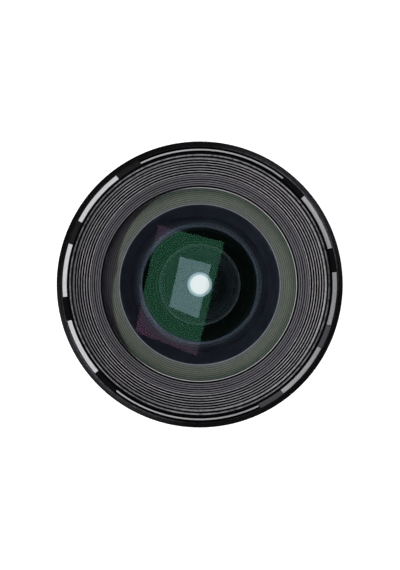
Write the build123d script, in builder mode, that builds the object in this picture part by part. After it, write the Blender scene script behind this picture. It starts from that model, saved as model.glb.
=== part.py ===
# Wide-angle cine prime lens with a focus ring, an iris ring and a nine-blade iris.
# Millimetres. The optical axis is Z and the front faces up. Z = 0 is the face of the mount flange.
# Outlines that are turned round the axis are lists of (radius, height) points.

import os
from math import asin, atan2, copysign, cos, degrees, hypot, radians, sin, sqrt, tan

from build123d import *

os.makedirs("parts", exist_ok=True)

# Fits and clearances
fit = 0.02
running = 0.06
ring_gap = 0.3
face_gap = 0.1
wall = 2.0

# Mount
flange_width = 6.5
ear_reach = 3.0
ear_width = 17.0
flange_thickness = 3.0
notch_width = 3.2
notch_depth = 2.6
spigot_radius = 27.0
spigot_length = 8.0
spigot_wall = 3.0
shim_thickness = 0.3
shim_margin = 0.5
guard_length = 12.0
guard_step = 1.5
guard_wall = 5.5
guard_thread_length = 6.0
mount_screw_count = 4
mount_screw_radius = 1.25
mount_screw_head_radius = 2.3
mount_screw_inset = 3.3
mount_screw_length = 6.4
screw_socket_width = 1.5
screw_socket_depth = 1.2

# Front ring
front_radius = 47.5
front_ring_length = 14.0
outer_chamfer = 0.9
lip_inset = 1.4
lip_drop = 0.2
lip_crest = 0.4
groove_width = 1.7
groove_depth = 1.9
inner_face = 0.7
mouth_chamfer = 0.7
filter_land = 0.5
filter_chamfer = 0.34
filter_length = 4.0
thread_relief = 0.96
thread_relief_depth = 0.54

# Keepers that a magnetic hood holds on to, with their places round the ring in degrees
keeper_recess = 0.1
keeper_turn_angle = -6.1
side_plate_angle = 22.6
corner_plate_angle = 24.8
corner_plate_turn_angle = 34.0
strip_angle = 64.0
strip_inset = 0.6
strip_width = 0.63
block_recess = 0.35
block_gap_angle = 0.3

# Ribbed light baffle
rib_count = 12
outer_rib_count = 6
rib_step_ratio = 1.14
rib_mouth_step = 0.18
rib_inner_step = 0.66
rib_floor = 0.4
rib_undercut = 0.75
baffle_flange = 3.0
baffle_foot = 2.2

# Glass: front radius, thickness, rear radius and edge radius. A radius below zero is hollow on its front side.
front_element_form = (70.0, 4.0, 31.0, 34.4)
front_element_clear = 33.2
front_element_rear_clear = 25.2
second_element_form = (48.0, 2.5, 19.0, 22.5)
second_element_clear = 21.2
second_element_rear_clear = 14.8
third_element_form = (-26.1, 1.8, 72.5, 15.0)
fourth_element_form = (31.1, 9.0, -33.3, 14.5)
fifth_element_form = (-33.3, 2.0, -208.4, 14.5)
sixth_element_form = (53.8, 4.5, 87.4, 14.0)
seventh_element_form = (-28.4, 1.6, 23.9, 13.2)
eighth_element_form = (23.9, 7.5, -33.2, 13.2)
ninth_element_form = (297.7, 5.0, -47.4, 14.5)
tenth_element_form = (62.2, 4.0, -108.5, 14.5)

# Places of the glass along the axis: below the front, below each other, and above or below what carries it
front_element_depth = 11.5
second_element_drop = 13.0
focus_group_rise = 16.2
third_air_gap = 2.7
sixth_air_gap = 1.0
seventh_element_drop = 5.5
ninth_air_gap = 1.0
tenth_air_gap = 1.4

# Fixed tubes and barrels
front_cell_wall = 3.56
front_cell_step = 1.08
core_wall = 3.9
core_rear_wall = 5.9
core_front_step = 1.9
core_shoulder_step = 0.5
barrel_floor = 4.0
barrel_floor_bore = 25.0
rear_barrel_wall = 2.1
rear_barrel_taper = 6.0
rear_barrel_length = 20.7
middle_barrel_inset = 1.0
middle_barrel_length = 9.7
bearing_length = 4.0
bearing_wall = 2.44
front_barrel_neck_step = 1.5
front_barrel_neck = 2.2
front_barrel_taper = 6.0
front_barrel_length = 13.7
front_barrel_bore_depth = 5.0

# Rings that turn, with the gear bands that a follow focus drives
gear_module = 0.8
gear_root_depth = 1.25
tooth_root_share = 0.34
tooth_tip_share = 0.14
iris_ring_wall = 3.1
iris_ring_length = 15.7
iris_gear_rise = 1.6
iris_gear_start = 2.7
iris_gear_width = 7.0
focus_ring_wall = 5.6
focus_ring_length = 33.7
focus_gear_rise = 2.3
focus_gear_start = 17.7
focus_gear_width = 10.0

# Cells, spacers and clamping rings that hold the glass
cell_wall = 3.0
cell_floor = 2.5
second_cell_floor = 1.6
clamp_step = 2.1
clamp_thickness = 1.17
clamp_undercut = 0.2
spacer_wall = 1.0
lip_width = 1.3
rear_lip_width = 0.8

# Focus drive
focus_travel = 6.0
focus_angle = 180.0
roller_count = 3
roller_radius = 1.0
roller_rise = 1.5
roller_clearance = 0.05
focus_bearing_length = 15.0
focus_bearing_wall = 2.0
focus_web = 3.0
cam_wall = 1.94
key_width = 5.0
key_length = 6.0
key_rise = 1.5
key_depth = 1.0

# Iris
blade_count = 9
iris_angle = 75.0
blade_angle = 37.5
iris_open_radius = 8.2
iris_floor_rise = 7.2
iris_plate = 1.5
blade_pivot_radius = 11.0
blade_outer = 12.6
blade_span_angle = 74.0
blade_end = 1.2
blade_rise = 2.0
blade_thickness = 0.05
blade_height = 3.1
heel_radius = 13.6
heel_angle = -40.0
heel_width = 1.8
pin_radius = 0.4
pin_clearance = 0.1
actuator_height = 5.7
actuator_thickness = 1.5
actuator_bore = 9.2
sleeve_inner = 19.3
sleeve_outer = 20.44
actuator_rim = 1.2
actuator_skirt = 1.5
iris_rim = 1.8
cover_height = 8.0
cover_thickness = 1.2
link_radius = 0.9
link_clearance = 0.3
link_angle = 200.0
link_hole_depth = 1.5

# Radii that follow from the spigot and the glass outwards, and from the front ring inwards
flange_radius = spigot_radius + flange_width
front_edge, second_edge = front_element_form[3], second_element_form[3]
front_cell_radius = front_edge + fit + front_cell_wall
core_radius = front_cell_radius - front_cell_step
core_bore = core_radius - core_wall
core_rear_bore = core_radius - core_rear_wall
core_front_radius = core_radius - core_front_step
rear_barrel_radius = core_radius + rear_barrel_wall
iris_ring_radius = core_radius + iris_ring_wall
focus_ring_radius = core_radius + focus_ring_wall
middle_barrel_radius = focus_ring_radius - middle_barrel_inset
front_barrel_neck_radius = focus_ring_radius + front_barrel_neck_step
lip_radius = front_radius - lip_inset
groove_outer = lip_radius - lip_crest
groove_inner = groove_outer - groove_width
land_radius = groove_inner - inner_face
filter_bore = land_radius - filter_land - filter_chamfer
baffle_flange_radius = filter_bore + thread_relief_depth
iris_gear_teeth = round(2 * (iris_ring_radius + iris_gear_rise) / gear_module)
focus_gear_teeth = round(2 * (focus_ring_radius + focus_gear_rise) / gear_module)

# Heights along the axis
spigot_end = -spigot_length
guard_end = spigot_end - guard_length
shim_top = flange_thickness + shim_thickness
floor_top = shim_top + barrel_floor
rear_barrel_top = shim_top + rear_barrel_length
iris_ring_start = rear_barrel_top + ring_gap
iris_ring_end = iris_ring_start + iris_ring_length
middle_barrel_start = iris_ring_end + ring_gap
middle_barrel_end = middle_barrel_start + middle_barrel_length
core_shoulder = middle_barrel_end - core_shoulder_step
focus_ring_start = middle_barrel_end + ring_gap
focus_ring_end = focus_ring_start + focus_ring_length
front_barrel_start = focus_ring_end + ring_gap
front_ring_start = front_barrel_start + front_barrel_length
front_end = front_ring_start + front_ring_length
filter_end = front_end - mouth_chamfer - filter_chamfer
filter_start = filter_end - filter_length
baffle_top = filter_start - thread_relief
iris_floor = iris_ring_start + iris_floor_rise
front_vertex = front_end - front_element_depth
second_vertex = front_vertex - second_element_drop
fourth_vertex = focus_ring_start + focus_group_rise
third_vertex = fourth_vertex + third_air_gap + third_element_form[1]
fifth_vertex = fourth_vertex - fourth_element_form[1]
sixth_vertex = fifth_vertex - fifth_element_form[1] - sixth_air_gap
seventh_vertex = iris_floor - seventh_element_drop
eighth_vertex = seventh_vertex - seventh_element_form[1]
ninth_vertex = eighth_vertex - eighth_element_form[1] - ninth_air_gap
tenth_vertex = ninth_vertex - ninth_element_form[1] - tenth_air_gap
roller_height = fourth_vertex + roller_rise
key_height = roller_height + key_rise


def sag(radius, distance):
    """Drop of a spherical face of this radius at a distance from the axis."""
    return copysign(abs(radius) - sqrt(radius**2 - distance**2), radius)


def front_face(vertex, form, distance):
    """Height of the front face of an element at a distance from the axis."""
    return vertex - sag(form[0], distance)


def rear_face(vertex, form, distance):
    """Height of the rear face of an element at a distance from the axis."""
    return vertex - form[1] - sag(form[2], distance)


def outline(*points):
    """A closed outline of (radius, height) points, ready to turn round the axis."""
    with BuildSketch(Plane.XZ) as section:
        Polygon(*points, align=None)
    return section.sketch


def glass(vertex, form, rear_clear=None):
    """The half section of a lens element, with a flat bevel outside rear_clear if that is given."""
    edge = form[3]
    clear = rear_clear or edge
    bevel = rear_face(vertex, form, clear)
    with BuildSketch(Plane.XZ) as section:
        with BuildLine():
            ThreePointArc(
                (0, vertex),
                (edge / 2, front_face(vertex, form, edge / 2)),
                (edge, front_face(vertex, form, edge)),
            )
            Line((edge, front_face(vertex, form, edge)), (edge, bevel))
            if rear_clear:
                Line((edge, bevel), (clear, bevel))
            ThreePointArc(
                (clear, bevel),
                (clear / 2, rear_face(vertex, form, clear / 2)),
                (0, rear_face(vertex, form, 0)),
            )
            Line((0, rear_face(vertex, form, 0)), (0, vertex))
        make_face()
    return section.sketch


# Seats of the two front elements, which set how far the core tube reaches
front_seat = rear_face(front_vertex, front_element_form, front_element_rear_clear)
front_lip = front_face(front_vertex, front_element_form, front_element_clear)
second_seat = rear_face(second_vertex, second_element_form, second_element_rear_clear)
second_lip = front_face(second_vertex, second_element_form, second_element_clear)
second_edge_top = front_face(second_vertex, second_element_form, second_edge)
clamp_radius = second_edge + clamp_step
core_end = front_seat - cell_floor


def radial_plane(angle, height):
    """A plane that looks outwards from the axis at this angle, with its X along the axis."""
    outwards = (cos(radians(angle)), sin(radians(angle)), 0)
    return Plane(origin=(0, 0, height), x_dir=(0, 0, 1), z_dir=outwards)


def at(radius, angle):
    """The point at this radius and angle, seen from the front."""
    return (radius * cos(radians(angle)), radius * sin(radians(angle)))


def sector(inner, outer, start, end):
    """A flat ring sector between two angles."""
    middle = (start + end) / 2
    with BuildSketch() as shape:
        with BuildLine():
            ThreePointArc(at(outer, start), at(outer, middle), at(outer, end))
            Line(at(outer, end), at(inner, end))
            ThreePointArc(at(inner, end), at(inner, middle), at(inner, start))
            Line(at(inner, start), at(outer, start))
        make_face()
    return shape.sketch


def gear_outline(teeth):
    """The outline of a gear band with straight-sided teeth, as on a follow-focus ring."""
    pitch_radius = gear_module * teeth / 2
    tip = pitch_radius + gear_module
    root = pitch_radius - gear_root_depth * gear_module
    step = 360 / teeth
    points = []
    for tooth in range(teeth):
        centre = tooth * step
        points += [
            at(root, centre - tooth_root_share * step),
            at(tip, centre - tooth_tip_share * step),
            at(tip, centre + tooth_tip_share * step),
            at(root, centre + tooth_root_share * step),
        ]
    with BuildSketch() as shape:
        Polygon(*points, align=None)
    return shape.sketch


# Mount flange: a steel spigot and a flange with four ears, one of them notched for the locating pin

ear_radius = flange_radius + ear_reach
mount_screw_circle = flange_radius - mount_screw_inset

with BuildPart() as mount_flange:
    revolve(
        outline(
            (spigot_radius - spigot_wall, spigot_end),
            (spigot_radius, spigot_end),
            (spigot_radius, 0),
            (flange_radius, 0),
            (flange_radius, flange_thickness),
            (spigot_radius - spigot_wall, flange_thickness),
        ),
        axis=Axis.Z,
    )
    with BuildSketch():
        Rectangle(2 * ear_radius, ear_width)
        Rectangle(ear_width, 2 * ear_radius)
        Circle(ear_radius, mode=Mode.INTERSECT)
        Circle(spigot_radius, mode=Mode.SUBTRACT)
        with Locations((0, ear_radius)):
            Rectangle(notch_width, 2 * notch_depth, mode=Mode.SUBTRACT)
    extrude(amount=flange_thickness)
    with Locations(Location((0, 0, 0), (180, 0, 0))):
        with PolarLocations(mount_screw_circle, mount_screw_count, start_angle=45):
            CounterSinkHole(
                radius=mount_screw_radius + fit,
                counter_sink_radius=mount_screw_head_radius + fit,
                depth=flange_thickness,
                counter_sink_angle=90,
            )
mount_flange.part.label = "mount_flange"
export_step(mount_flange.part, "parts/mount_flange.step")

# Shims that set the flange distance, between the flange and the rear barrel

with BuildPart() as mount_shims:
    with BuildSketch(Plane.XY.offset(flange_thickness)):
        Circle(flange_radius - shim_margin)
        Circle(spigot_radius, mode=Mode.SUBTRACT)
        with PolarLocations(mount_screw_circle, mount_screw_count, start_angle=45):
            Circle(mount_screw_radius + fit, mode=Mode.SUBTRACT)
    extrude(amount=shim_thickness)
mount_shims.part.label = "mount_shims"
export_step(mount_shims.part, "parts/mount_shims.step")

# Countersunk screws that hold the flange, with hexagon sockets

with BuildPart() as mount_screws:
    with PolarLocations(mount_screw_circle, mount_screw_count, start_angle=45):
        Cylinder(
            mount_screw_radius,
            mount_screw_length,
            align=(Align.CENTER, Align.CENTER, Align.MIN),
        )
        Cone(
            mount_screw_head_radius,
            mount_screw_radius,
            mount_screw_head_radius - mount_screw_radius,
            align=(Align.CENTER, Align.CENTER, Align.MIN),
        )
    with BuildSketch():
        with PolarLocations(mount_screw_circle, mount_screw_count, start_angle=45):
            RegularPolygon(screw_socket_width / 2, 6, major_radius=False)
    extrude(amount=screw_socket_depth, mode=Mode.SUBTRACT)
mount_screws.part.label = "mount_screws"
export_step(mount_screws.part, "parts/mount_screws.step")

# Rear guard: screwed into the spigot, it keeps stray light off the rear glass and is the foot of the lens

guard_radius = spigot_radius - guard_step
guard_outer = spigot_radius - spigot_wall - fit
guard_bore = guard_radius - guard_wall

with BuildPart() as rear_guard:
    revolve(
        outline(
            (guard_bore, guard_end),
            (guard_radius, guard_end),
            (guard_radius, spigot_end),
            (guard_outer, spigot_end),
            (guard_outer, spigot_end + guard_thread_length),
            (guard_bore, spigot_end + guard_thread_length),
        ),
        axis=Axis.Z,
    )
rear_guard.part.label = "rear_guard"
export_step(rear_guard.part, "parts/rear_guard.step")

# Rear barrel: its floor carries the flange and the core tube stands in it

with BuildPart() as rear_barrel:
    revolve(
        outline(
            (barrel_floor_bore, shim_top),
            (flange_radius, shim_top),
            (rear_barrel_radius, shim_top + rear_barrel_taper),
            (rear_barrel_radius, rear_barrel_top),
            (core_radius + fit, rear_barrel_top),
            (core_radius + fit, floor_top),
            (barrel_floor_bore, floor_top),
        ),
        axis=Axis.Z,
    )
    with BuildSketch(Plane.XY.offset(shim_top)):
        with PolarLocations(mount_screw_circle, mount_screw_count, start_angle=45):
            Circle(mount_screw_radius + fit)
    extrude(amount=barrel_floor, mode=Mode.SUBTRACT)
rear_barrel.part.label = "rear_barrel"
export_step(rear_barrel.part, "parts/rear_barrel.step")

# Core tube: straight slots guide the rollers of the focus cell, and an arc slot lets the iris link through

link_height = iris_floor + actuator_height + actuator_thickness / 2 - actuator_skirt / 2
link_margin = degrees(asin((link_radius + link_clearance) / iris_ring_radius)) + 1

with BuildPart() as core_tube:
    revolve(
        outline(
            (core_rear_bore, floor_top),
            (core_radius, floor_top),
            (core_radius, core_shoulder),
            (core_front_radius, core_shoulder),
            (core_front_radius, core_end),
            (core_bore, core_end),
            (core_bore, iris_floor),
            (core_rear_bore, iris_floor),
        ),
        axis=Axis.Z,
    )
    for roller in range(roller_count):
        slot_middle = roller_height - focus_travel / 2
        with BuildSketch(radial_plane(roller * 360 / roller_count, slot_middle)):
            SlotCenterToCenter(focus_travel, 2 * (roller_radius + roller_clearance))
        extrude(amount=core_radius, mode=Mode.SUBTRACT)
    link_slot = sector(
        core_bore - wall,
        core_radius + wall,
        link_angle - link_margin,
        link_angle + iris_angle + link_margin,
    )
    link_slot_start = link_height - link_radius - link_clearance
    extrude(
        link_slot.moved(Location((0, 0, link_slot_start))),
        amount=2 * (link_radius + link_clearance),
        mode=Mode.SUBTRACT,
    )
core_tube.part.label = "core_tube"
export_step(core_tube.part, "parts/core_tube.step")

# Middle barrel: sits on the core tube between the two rings, and its sleeve carries the focus ring

bearing_radius = focus_ring_radius - wall - running

with BuildPart() as middle_barrel:
    revolve(
        outline(
            (core_radius + fit, middle_barrel_start),
            (middle_barrel_radius, middle_barrel_start),
            (middle_barrel_radius, middle_barrel_end),
            (bearing_radius, middle_barrel_end),
            (bearing_radius, middle_barrel_end + bearing_length),
            (bearing_radius - bearing_wall, middle_barrel_end + bearing_length),
            (bearing_radius - bearing_wall, core_shoulder),
            (core_radius + fit, core_shoulder),
        ),
        axis=Axis.Z,
    )
middle_barrel.part.label = "middle_barrel"
export_step(middle_barrel.part, "parts/middle_barrel.step")

# Front barrel: closes the focus ring at the front and flares out to the front ring

flare_start = front_barrel_start + front_barrel_neck
flare_end = flare_start + front_barrel_taper

with BuildPart() as front_barrel:
    revolve(
        outline(
            (core_front_radius + fit, core_end - bearing_length),
            (bearing_radius, core_end - bearing_length),
            (bearing_radius, front_barrel_start),
            (front_barrel_neck_radius, front_barrel_start),
            (front_barrel_neck_radius, flare_start),
            (front_radius, flare_end),
            (front_radius, front_ring_start),
            (baffle_flange_radius + ring_gap, front_ring_start),
            (front_cell_radius + fit, front_ring_start - front_barrel_bore_depth),
            (front_cell_radius + fit, core_end),
            (core_front_radius + fit, core_end),
        ),
        axis=Axis.Z,
    )
front_barrel.part.label = "front_barrel"
export_step(front_barrel.part, "parts/front_barrel.step")

# Front ring: filter thread in its mouth, and a groove in its face for the keepers

with BuildPart() as front_ring:
    revolve(
        outline(
            (baffle_flange_radius + fit, front_ring_start),
            (front_radius, front_ring_start),
            (front_radius, front_end - lip_drop - outer_chamfer),
            (front_radius - outer_chamfer, front_end - lip_drop),
            (lip_radius + lip_drop, front_end - lip_drop),
            (lip_radius, front_end),
            (groove_outer, front_end),
            (groove_outer, front_end - groove_depth),
            (groove_inner, front_end - groove_depth),
            (groove_inner, front_end),
            (land_radius, front_end - mouth_chamfer),
            (filter_bore + filter_chamfer, front_end - mouth_chamfer),
            (filter_bore, filter_end),
            (filter_bore, filter_start),
            (baffle_flange_radius + fit, filter_start),
        ),
        axis=Axis.Z,
    )
front_ring.part.label = "front_ring"
export_step(front_ring.part, "parts/front_ring.step")

# Keepers in the groove of the front ring: six steel plates, two thin steel strips, and blocks between them

groove_floor = front_end - groove_depth
keeper_height = groove_depth - keeper_recess
strip_outer = groove_outer - strip_inset
strip_inner = strip_outer - strip_width
half_side, half_corner, half_strip = side_plate_angle / 2, corner_plate_angle / 2, strip_angle / 2
plates = []
strips = []
for side in (0, 180):
    plates.append((side - corner_plate_turn_angle, half_corner))
    plates.append((side, half_side))
    plates.append((side + corner_plate_turn_angle, half_corner))
    strips.append((side + 90, half_strip))


def keeper_sector(inner, outer, start, end):
    """A sector on the groove's floor. The whole keeper band is turned by one angle."""
    shape = sector(inner, outer, start + keeper_turn_angle, end + keeper_turn_angle)
    return shape.moved(Location((0, 0, groove_floor)))


with BuildPart() as keeper_plates:
    for place, half in plates:
        plate = keeper_sector(groove_inner + fit, groove_outer - fit, place - half, place + half)
        extrude(plate, amount=keeper_height)
keeper_plates.part.label = "keeper_plates"
export_step(keeper_plates.part, "parts/keeper_plates.step")

with BuildPart() as keeper_strips:
    for place, half in strips:
        strip = keeper_sector(strip_inner, strip_outer, place - half, place + half)
        extrude(strip, amount=keeper_height)
keeper_strips.part.label = "keeper_strips"
export_step(keeper_strips.part, "parts/keeper_strips.step")

with BuildPart() as spacer_blocks:
    taken = sorted((place % 360, half) for place, half in plates + strips)
    for (place, half), (next_place, next_half) in zip(taken, taken[1:] + taken[:1]):
        start = place + half + block_gap_angle
        end = next_place + 360 * (next_place < place) - next_half - block_gap_angle
        block = keeper_sector(groove_inner + fit, groove_outer - fit, start, end)
        extrude(block, amount=groove_depth - block_recess)
spacer_blocks.part.label = "spacer_blocks"
export_step(spacer_blocks.part, "parts/spacer_blocks.step")

# Front cell: holds the front element and the second element

with BuildPart() as front_cell:
    revolve(
        outline(
            (second_element_rear_clear + fit, second_seat - second_cell_floor),
            (clamp_radius + wall, second_seat - second_cell_floor),
            (clamp_radius + wall, core_end),
            (front_cell_radius, core_end),
            (front_cell_radius, front_lip),
            (front_edge + fit, front_lip),
            (front_edge + fit, front_seat),
            (clamp_radius + fit, front_seat),
            (clamp_radius + fit, second_edge_top),
            (second_edge + fit, second_edge_top),
            (second_edge + fit, second_seat),
            (second_element_rear_clear + fit, second_seat),
        ),
        axis=Axis.Z,
    )
front_cell.part.label = "front_cell"
export_step(front_cell.part, "parts/front_cell.step")

with BuildPart() as front_element:
    revolve(glass(front_vertex, front_element_form, front_element_rear_clear), axis=Axis.Z)
front_element.part.label = "front_element"
export_step(front_element.part, "parts/front_element.step")

with BuildPart() as second_element:
    revolve(glass(second_vertex, second_element_form, second_element_rear_clear), axis=Axis.Z)
second_element.part.label = "second_element"
export_step(second_element.part, "parts/second_element.step")

# Threaded rings that clamp the second element and the front element

with BuildPart() as second_clamp_ring:
    revolve(
        outline(
            (second_element_clear, second_lip),
            (clamp_radius, second_edge_top),
            (clamp_radius, front_seat - face_gap),
            (second_element_clear, front_seat - face_gap),
        ),
        axis=Axis.Z,
    )
second_clamp_ring.part.label = "second_clamp_ring"
export_step(second_clamp_ring.part, "parts/second_clamp_ring.step")

baffle_end = front_lip + clamp_thickness

with BuildPart() as front_clamp_ring:
    revolve(
        outline(
            (front_element_clear, front_lip),
            (front_cell_radius, front_lip),
            (front_cell_radius, baffle_end),
            (front_element_clear, baffle_end),
        ),
        axis=Axis.Z,
    )
front_clamp_ring.part.label = "front_clamp_ring"
export_step(front_clamp_ring.part, "parts/front_clamp_ring.step")

# Light baffle: a funnel of sharp ribs from the filter thread down to the front element

rib_foot = rib_undercut + rib_floor
rib_pitch = (baffle_top - baffle_end - rib_foot) / (rib_count - 1)
rib_radii = [filter_bore - rib_mouth_step]
funnel_width = rib_radii[0] - front_element_clear - rib_inner_step
inner_rib_count = rib_count - outer_rib_count
inner_rib_step = funnel_width / (rib_step_ratio * (outer_rib_count - 1) + inner_rib_count)
for rib in range(1, rib_count):
    ratio = rib_step_ratio if rib < outer_rib_count else 1
    rib_radii.append(rib_radii[-1] - ratio * inner_rib_step)
funnel = []
for rib, radius in enumerate(rib_radii[:-1]):
    crest = baffle_top - rib * rib_pitch
    funnel.append((radius, crest))
    funnel.append((radius, crest - rib_pitch - rib_undercut))
funnel.append((rib_radii[-1], baffle_top - (rib_count - 1) * rib_pitch))
funnel.append((rib_radii[-1], baffle_end))
baffle_foot_radius = front_cell_radius - face_gap

with BuildPart() as light_baffle:
    revolve(
        outline(
            *funnel,
            (baffle_foot_radius, baffle_end),
            (baffle_foot_radius, baffle_end + baffle_foot),
            (baffle_flange_radius, baffle_top - baffle_flange),
            (baffle_flange_radius, baffle_top),
        ),
        axis=Axis.Z,
    )
light_baffle.part.label = "light_baffle"
export_step(light_baffle.part, "parts/light_baffle.step")

# Focus ring with its gear band

with BuildPart() as focus_ring:
    revolve(
        outline(
            (focus_ring_radius - wall, focus_ring_start),
            (focus_ring_radius, focus_ring_start),
            (focus_ring_radius, focus_ring_end),
            (focus_ring_radius - wall, focus_ring_end),
        ),
        axis=Axis.Z,
    )
    for roller in range(roller_count):
        with BuildSketch(radial_plane((roller + 0.5) * 360 / roller_count, key_height + key_length / 2)):
            Rectangle(key_length + 2 * fit, key_width + 2 * fit)
        extrude(amount=focus_ring_radius - wall + key_depth, mode=Mode.SUBTRACT)
focus_ring.part.label = "focus_ring"
export_step(focus_ring.part, "parts/focus_ring.step")

with BuildPart() as focus_gear:
    focus_teeth = gear_outline(focus_gear_teeth).moved(Location((0, 0, focus_ring_start + focus_gear_start)))
    extrude(focus_teeth, amount=focus_gear_width)
    with BuildSketch(Plane.XY.offset(focus_ring_start + focus_gear_start)):
        Circle(focus_ring_radius + fit)
    extrude(amount=focus_gear_width, mode=Mode.SUBTRACT)
focus_gear.part.label = "focus_gear"
export_step(focus_gear.part, "parts/focus_gear.step")

# Cam tube: turns with the focus ring, and its helical slots push the rollers along the axis

cam_inner = core_front_radius + running
cam_outer = cam_inner + cam_wall
cam_start = core_shoulder + face_gap
cam_end = core_end - bearing_length - face_gap
slot_half = roller_radius + roller_clearance
slot_lead = Helix(
    pitch=focus_travel * 360 / focus_angle,
    height=focus_travel,
    radius=(cam_inner + cam_outer) / 2,
    center=(0, 0, roller_height - focus_travel),
    mode=Mode.PRIVATE,
)

with BuildPart() as helical_slot:
    with BuildSketch(Plane(origin=slot_lead @ 0, x_dir=(1, 0, 0), z_dir=slot_lead % 0)):
        Rectangle(2 * wall, 2 * slot_half)
    sweep(path=slot_lead, is_frenet=True)
    for angle, height in ((0, roller_height - focus_travel), (focus_angle, roller_height)):
        with BuildSketch(radial_plane(angle, height).offset(cam_inner - wall / 2)):
            Circle(slot_half)
        extrude(amount=cam_wall + wall)

with BuildPart() as cam_tube:
    revolve(
        outline(
            (cam_inner, cam_start),
            (cam_outer, cam_start),
            (cam_outer, cam_end),
            (cam_inner, cam_end),
        ),
        axis=Axis.Z,
    )
    for roller in range(roller_count):
        place = roller * 360 / roller_count
        add(helical_slot.part.rotate(Axis.Z, place - focus_angle), mode=Mode.SUBTRACT)
        with BuildSketch(radial_plane(place + 180 / roller_count, key_height + key_length / 2)):
            Rectangle(key_length + 2 * fit, key_width + 2 * fit)
        extrude(amount=2 * cam_outer, mode=Mode.SUBTRACT)
cam_tube.part.label = "cam_tube"
export_step(cam_tube.part, "parts/cam_tube.step")

# Keys that join the focus ring to the cam tube

with BuildPart() as drive_keys:
    for roller in range(roller_count):
        with BuildSketch(radial_plane((roller + 0.5) * 360 / roller_count, key_height + key_length / 2)):
            Rectangle(key_length, key_width)
        extrude(amount=focus_ring_radius)
    with BuildSketch():
        Circle(focus_ring_radius - wall + key_depth)
        Circle(cam_inner + fit, mode=Mode.SUBTRACT)
    extrude(amount=core_end, mode=Mode.INTERSECT)
drive_keys.part.label = "drive_keys"
export_step(drive_keys.part, "parts/drive_keys.step")

# Focus cell: slides in the core tube and carries the middle group of glass

third_edge, fourth_edge, sixth_edge = third_element_form[3], fourth_element_form[3], sixth_element_form[3]
third_seat = rear_face(third_vertex, third_element_form, third_edge)
third_edge_top = front_face(third_vertex, third_element_form, third_edge)
cell_lip = fourth_edge - lip_width
cell_lip_top = rear_face(fifth_vertex, fifth_element_form, cell_lip)
cell_lip_end = front_face(sixth_vertex, sixth_element_form, cell_lip)
cell_tail = rear_face(sixth_vertex, sixth_element_form, sixth_edge) - clamp_thickness
cell_tube = third_edge + cell_wall
bearing_top = roller_height + focus_bearing_length / 3
bearing_start = bearing_top - focus_bearing_length
web_start = bearing_start + focus_bearing_length / 3

with BuildPart() as focus_cell:
    revolve(
        outline(
            (cell_lip, cell_lip_end),
            (sixth_edge + fit, cell_lip_end),
            (sixth_edge + fit, cell_tail),
            (cell_tube, cell_tail),
            (cell_tube, web_start),
            (core_bore - running - focus_bearing_wall, web_start),
            (core_bore - running - focus_bearing_wall, bearing_start),
            (core_bore - running, bearing_start),
            (core_bore - running, bearing_top),
            (core_bore - running - focus_bearing_wall, bearing_top),
            (core_bore - running - focus_bearing_wall, web_start + focus_web),
            (cell_tube, web_start + focus_web),
            (cell_tube, third_edge_top),
            (third_edge + fit, third_edge_top),
            (third_edge + fit, third_seat),
            (fourth_edge + fit, third_seat),
            (fourth_edge + fit, cell_lip_top),
            (cell_lip, cell_lip_top),
        ),
        axis=Axis.Z,
    )
    for roller in range(roller_count):
        with BuildSketch(radial_plane(roller * 360 / roller_count, roller_height)):
            Circle(roller_radius / 2 + fit)
        extrude(amount=core_bore, mode=Mode.SUBTRACT)
focus_cell.part.label = "focus_cell"
export_step(focus_cell.part, "parts/focus_cell.step")

# Rollers on threaded studs, which run in the straight slots and in the helical slots

with BuildPart() as cam_rollers:
    for roller in range(roller_count):
        with BuildSketch(radial_plane(roller * 360 / roller_count, roller_height)):
            Circle(roller_radius)
        extrude(amount=cam_outer - face_gap)
    with BuildSketch():
        Circle(core_bore)
    extrude(amount=core_end, mode=Mode.SUBTRACT)
    for roller in range(roller_count):
        with BuildSketch(radial_plane(roller * 360 / roller_count, roller_height)):
            Circle(roller_radius / 2)
        extrude(amount=core_bore)
    with BuildSketch():
        Circle(core_bore - running - focus_bearing_wall)
    extrude(amount=core_end, mode=Mode.SUBTRACT)
cam_rollers.part.label = "cam_rollers"
export_step(cam_rollers.part, "parts/cam_rollers.step")

# Glass of the middle group: a hollow front element, a cemented pair and a rear meniscus

with BuildPart() as third_element:
    revolve(glass(third_vertex, third_element_form), axis=Axis.Z)
third_element.part.label = "third_element"
export_step(third_element.part, "parts/third_element.step")

with BuildPart() as fourth_element:
    revolve(glass(fourth_vertex, fourth_element_form), axis=Axis.Z)
fourth_element.part.label = "fourth_element"
export_step(fourth_element.part, "parts/fourth_element.step")

with BuildPart() as fifth_element:
    revolve(glass(fifth_vertex, fifth_element_form), axis=Axis.Z)
fifth_element.part.label = "fifth_element"
export_step(fifth_element.part, "parts/fifth_element.step")

with BuildPart() as sixth_element:
    revolve(glass(sixth_vertex, sixth_element_form), axis=Axis.Z)
sixth_element.part.label = "sixth_element"
export_step(sixth_element.part, "parts/sixth_element.step")

# Spacer between the third and fourth elements, and the ring that clamps the sixth

spacer_outer = fourth_edge - fit
spacer_inner = spacer_outer - spacer_wall

with BuildPart() as focus_spacer:
    revolve(
        outline(
            (spacer_inner, front_face(fourth_vertex, fourth_element_form, spacer_inner)),
            (spacer_outer, front_face(fourth_vertex, fourth_element_form, spacer_inner)),
            (spacer_outer, third_seat),
            (spacer_inner, third_seat),
        ),
        axis=Axis.Z,
    )
focus_spacer.part.label = "focus_spacer"
export_step(focus_spacer.part, "parts/focus_spacer.step")

with BuildPart() as focus_clamp_ring:
    revolve(
        outline(
            (sixth_edge - spacer_wall, cell_tail),
            (sixth_edge, cell_tail),
            (sixth_edge, cell_tail + clamp_thickness),
            (sixth_edge - spacer_wall, cell_tail + clamp_thickness - clamp_undercut),
        ),
        axis=Axis.Z,
    )
focus_clamp_ring.part.label = "focus_clamp_ring"
export_step(focus_clamp_ring.part, "parts/focus_clamp_ring.step")

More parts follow.
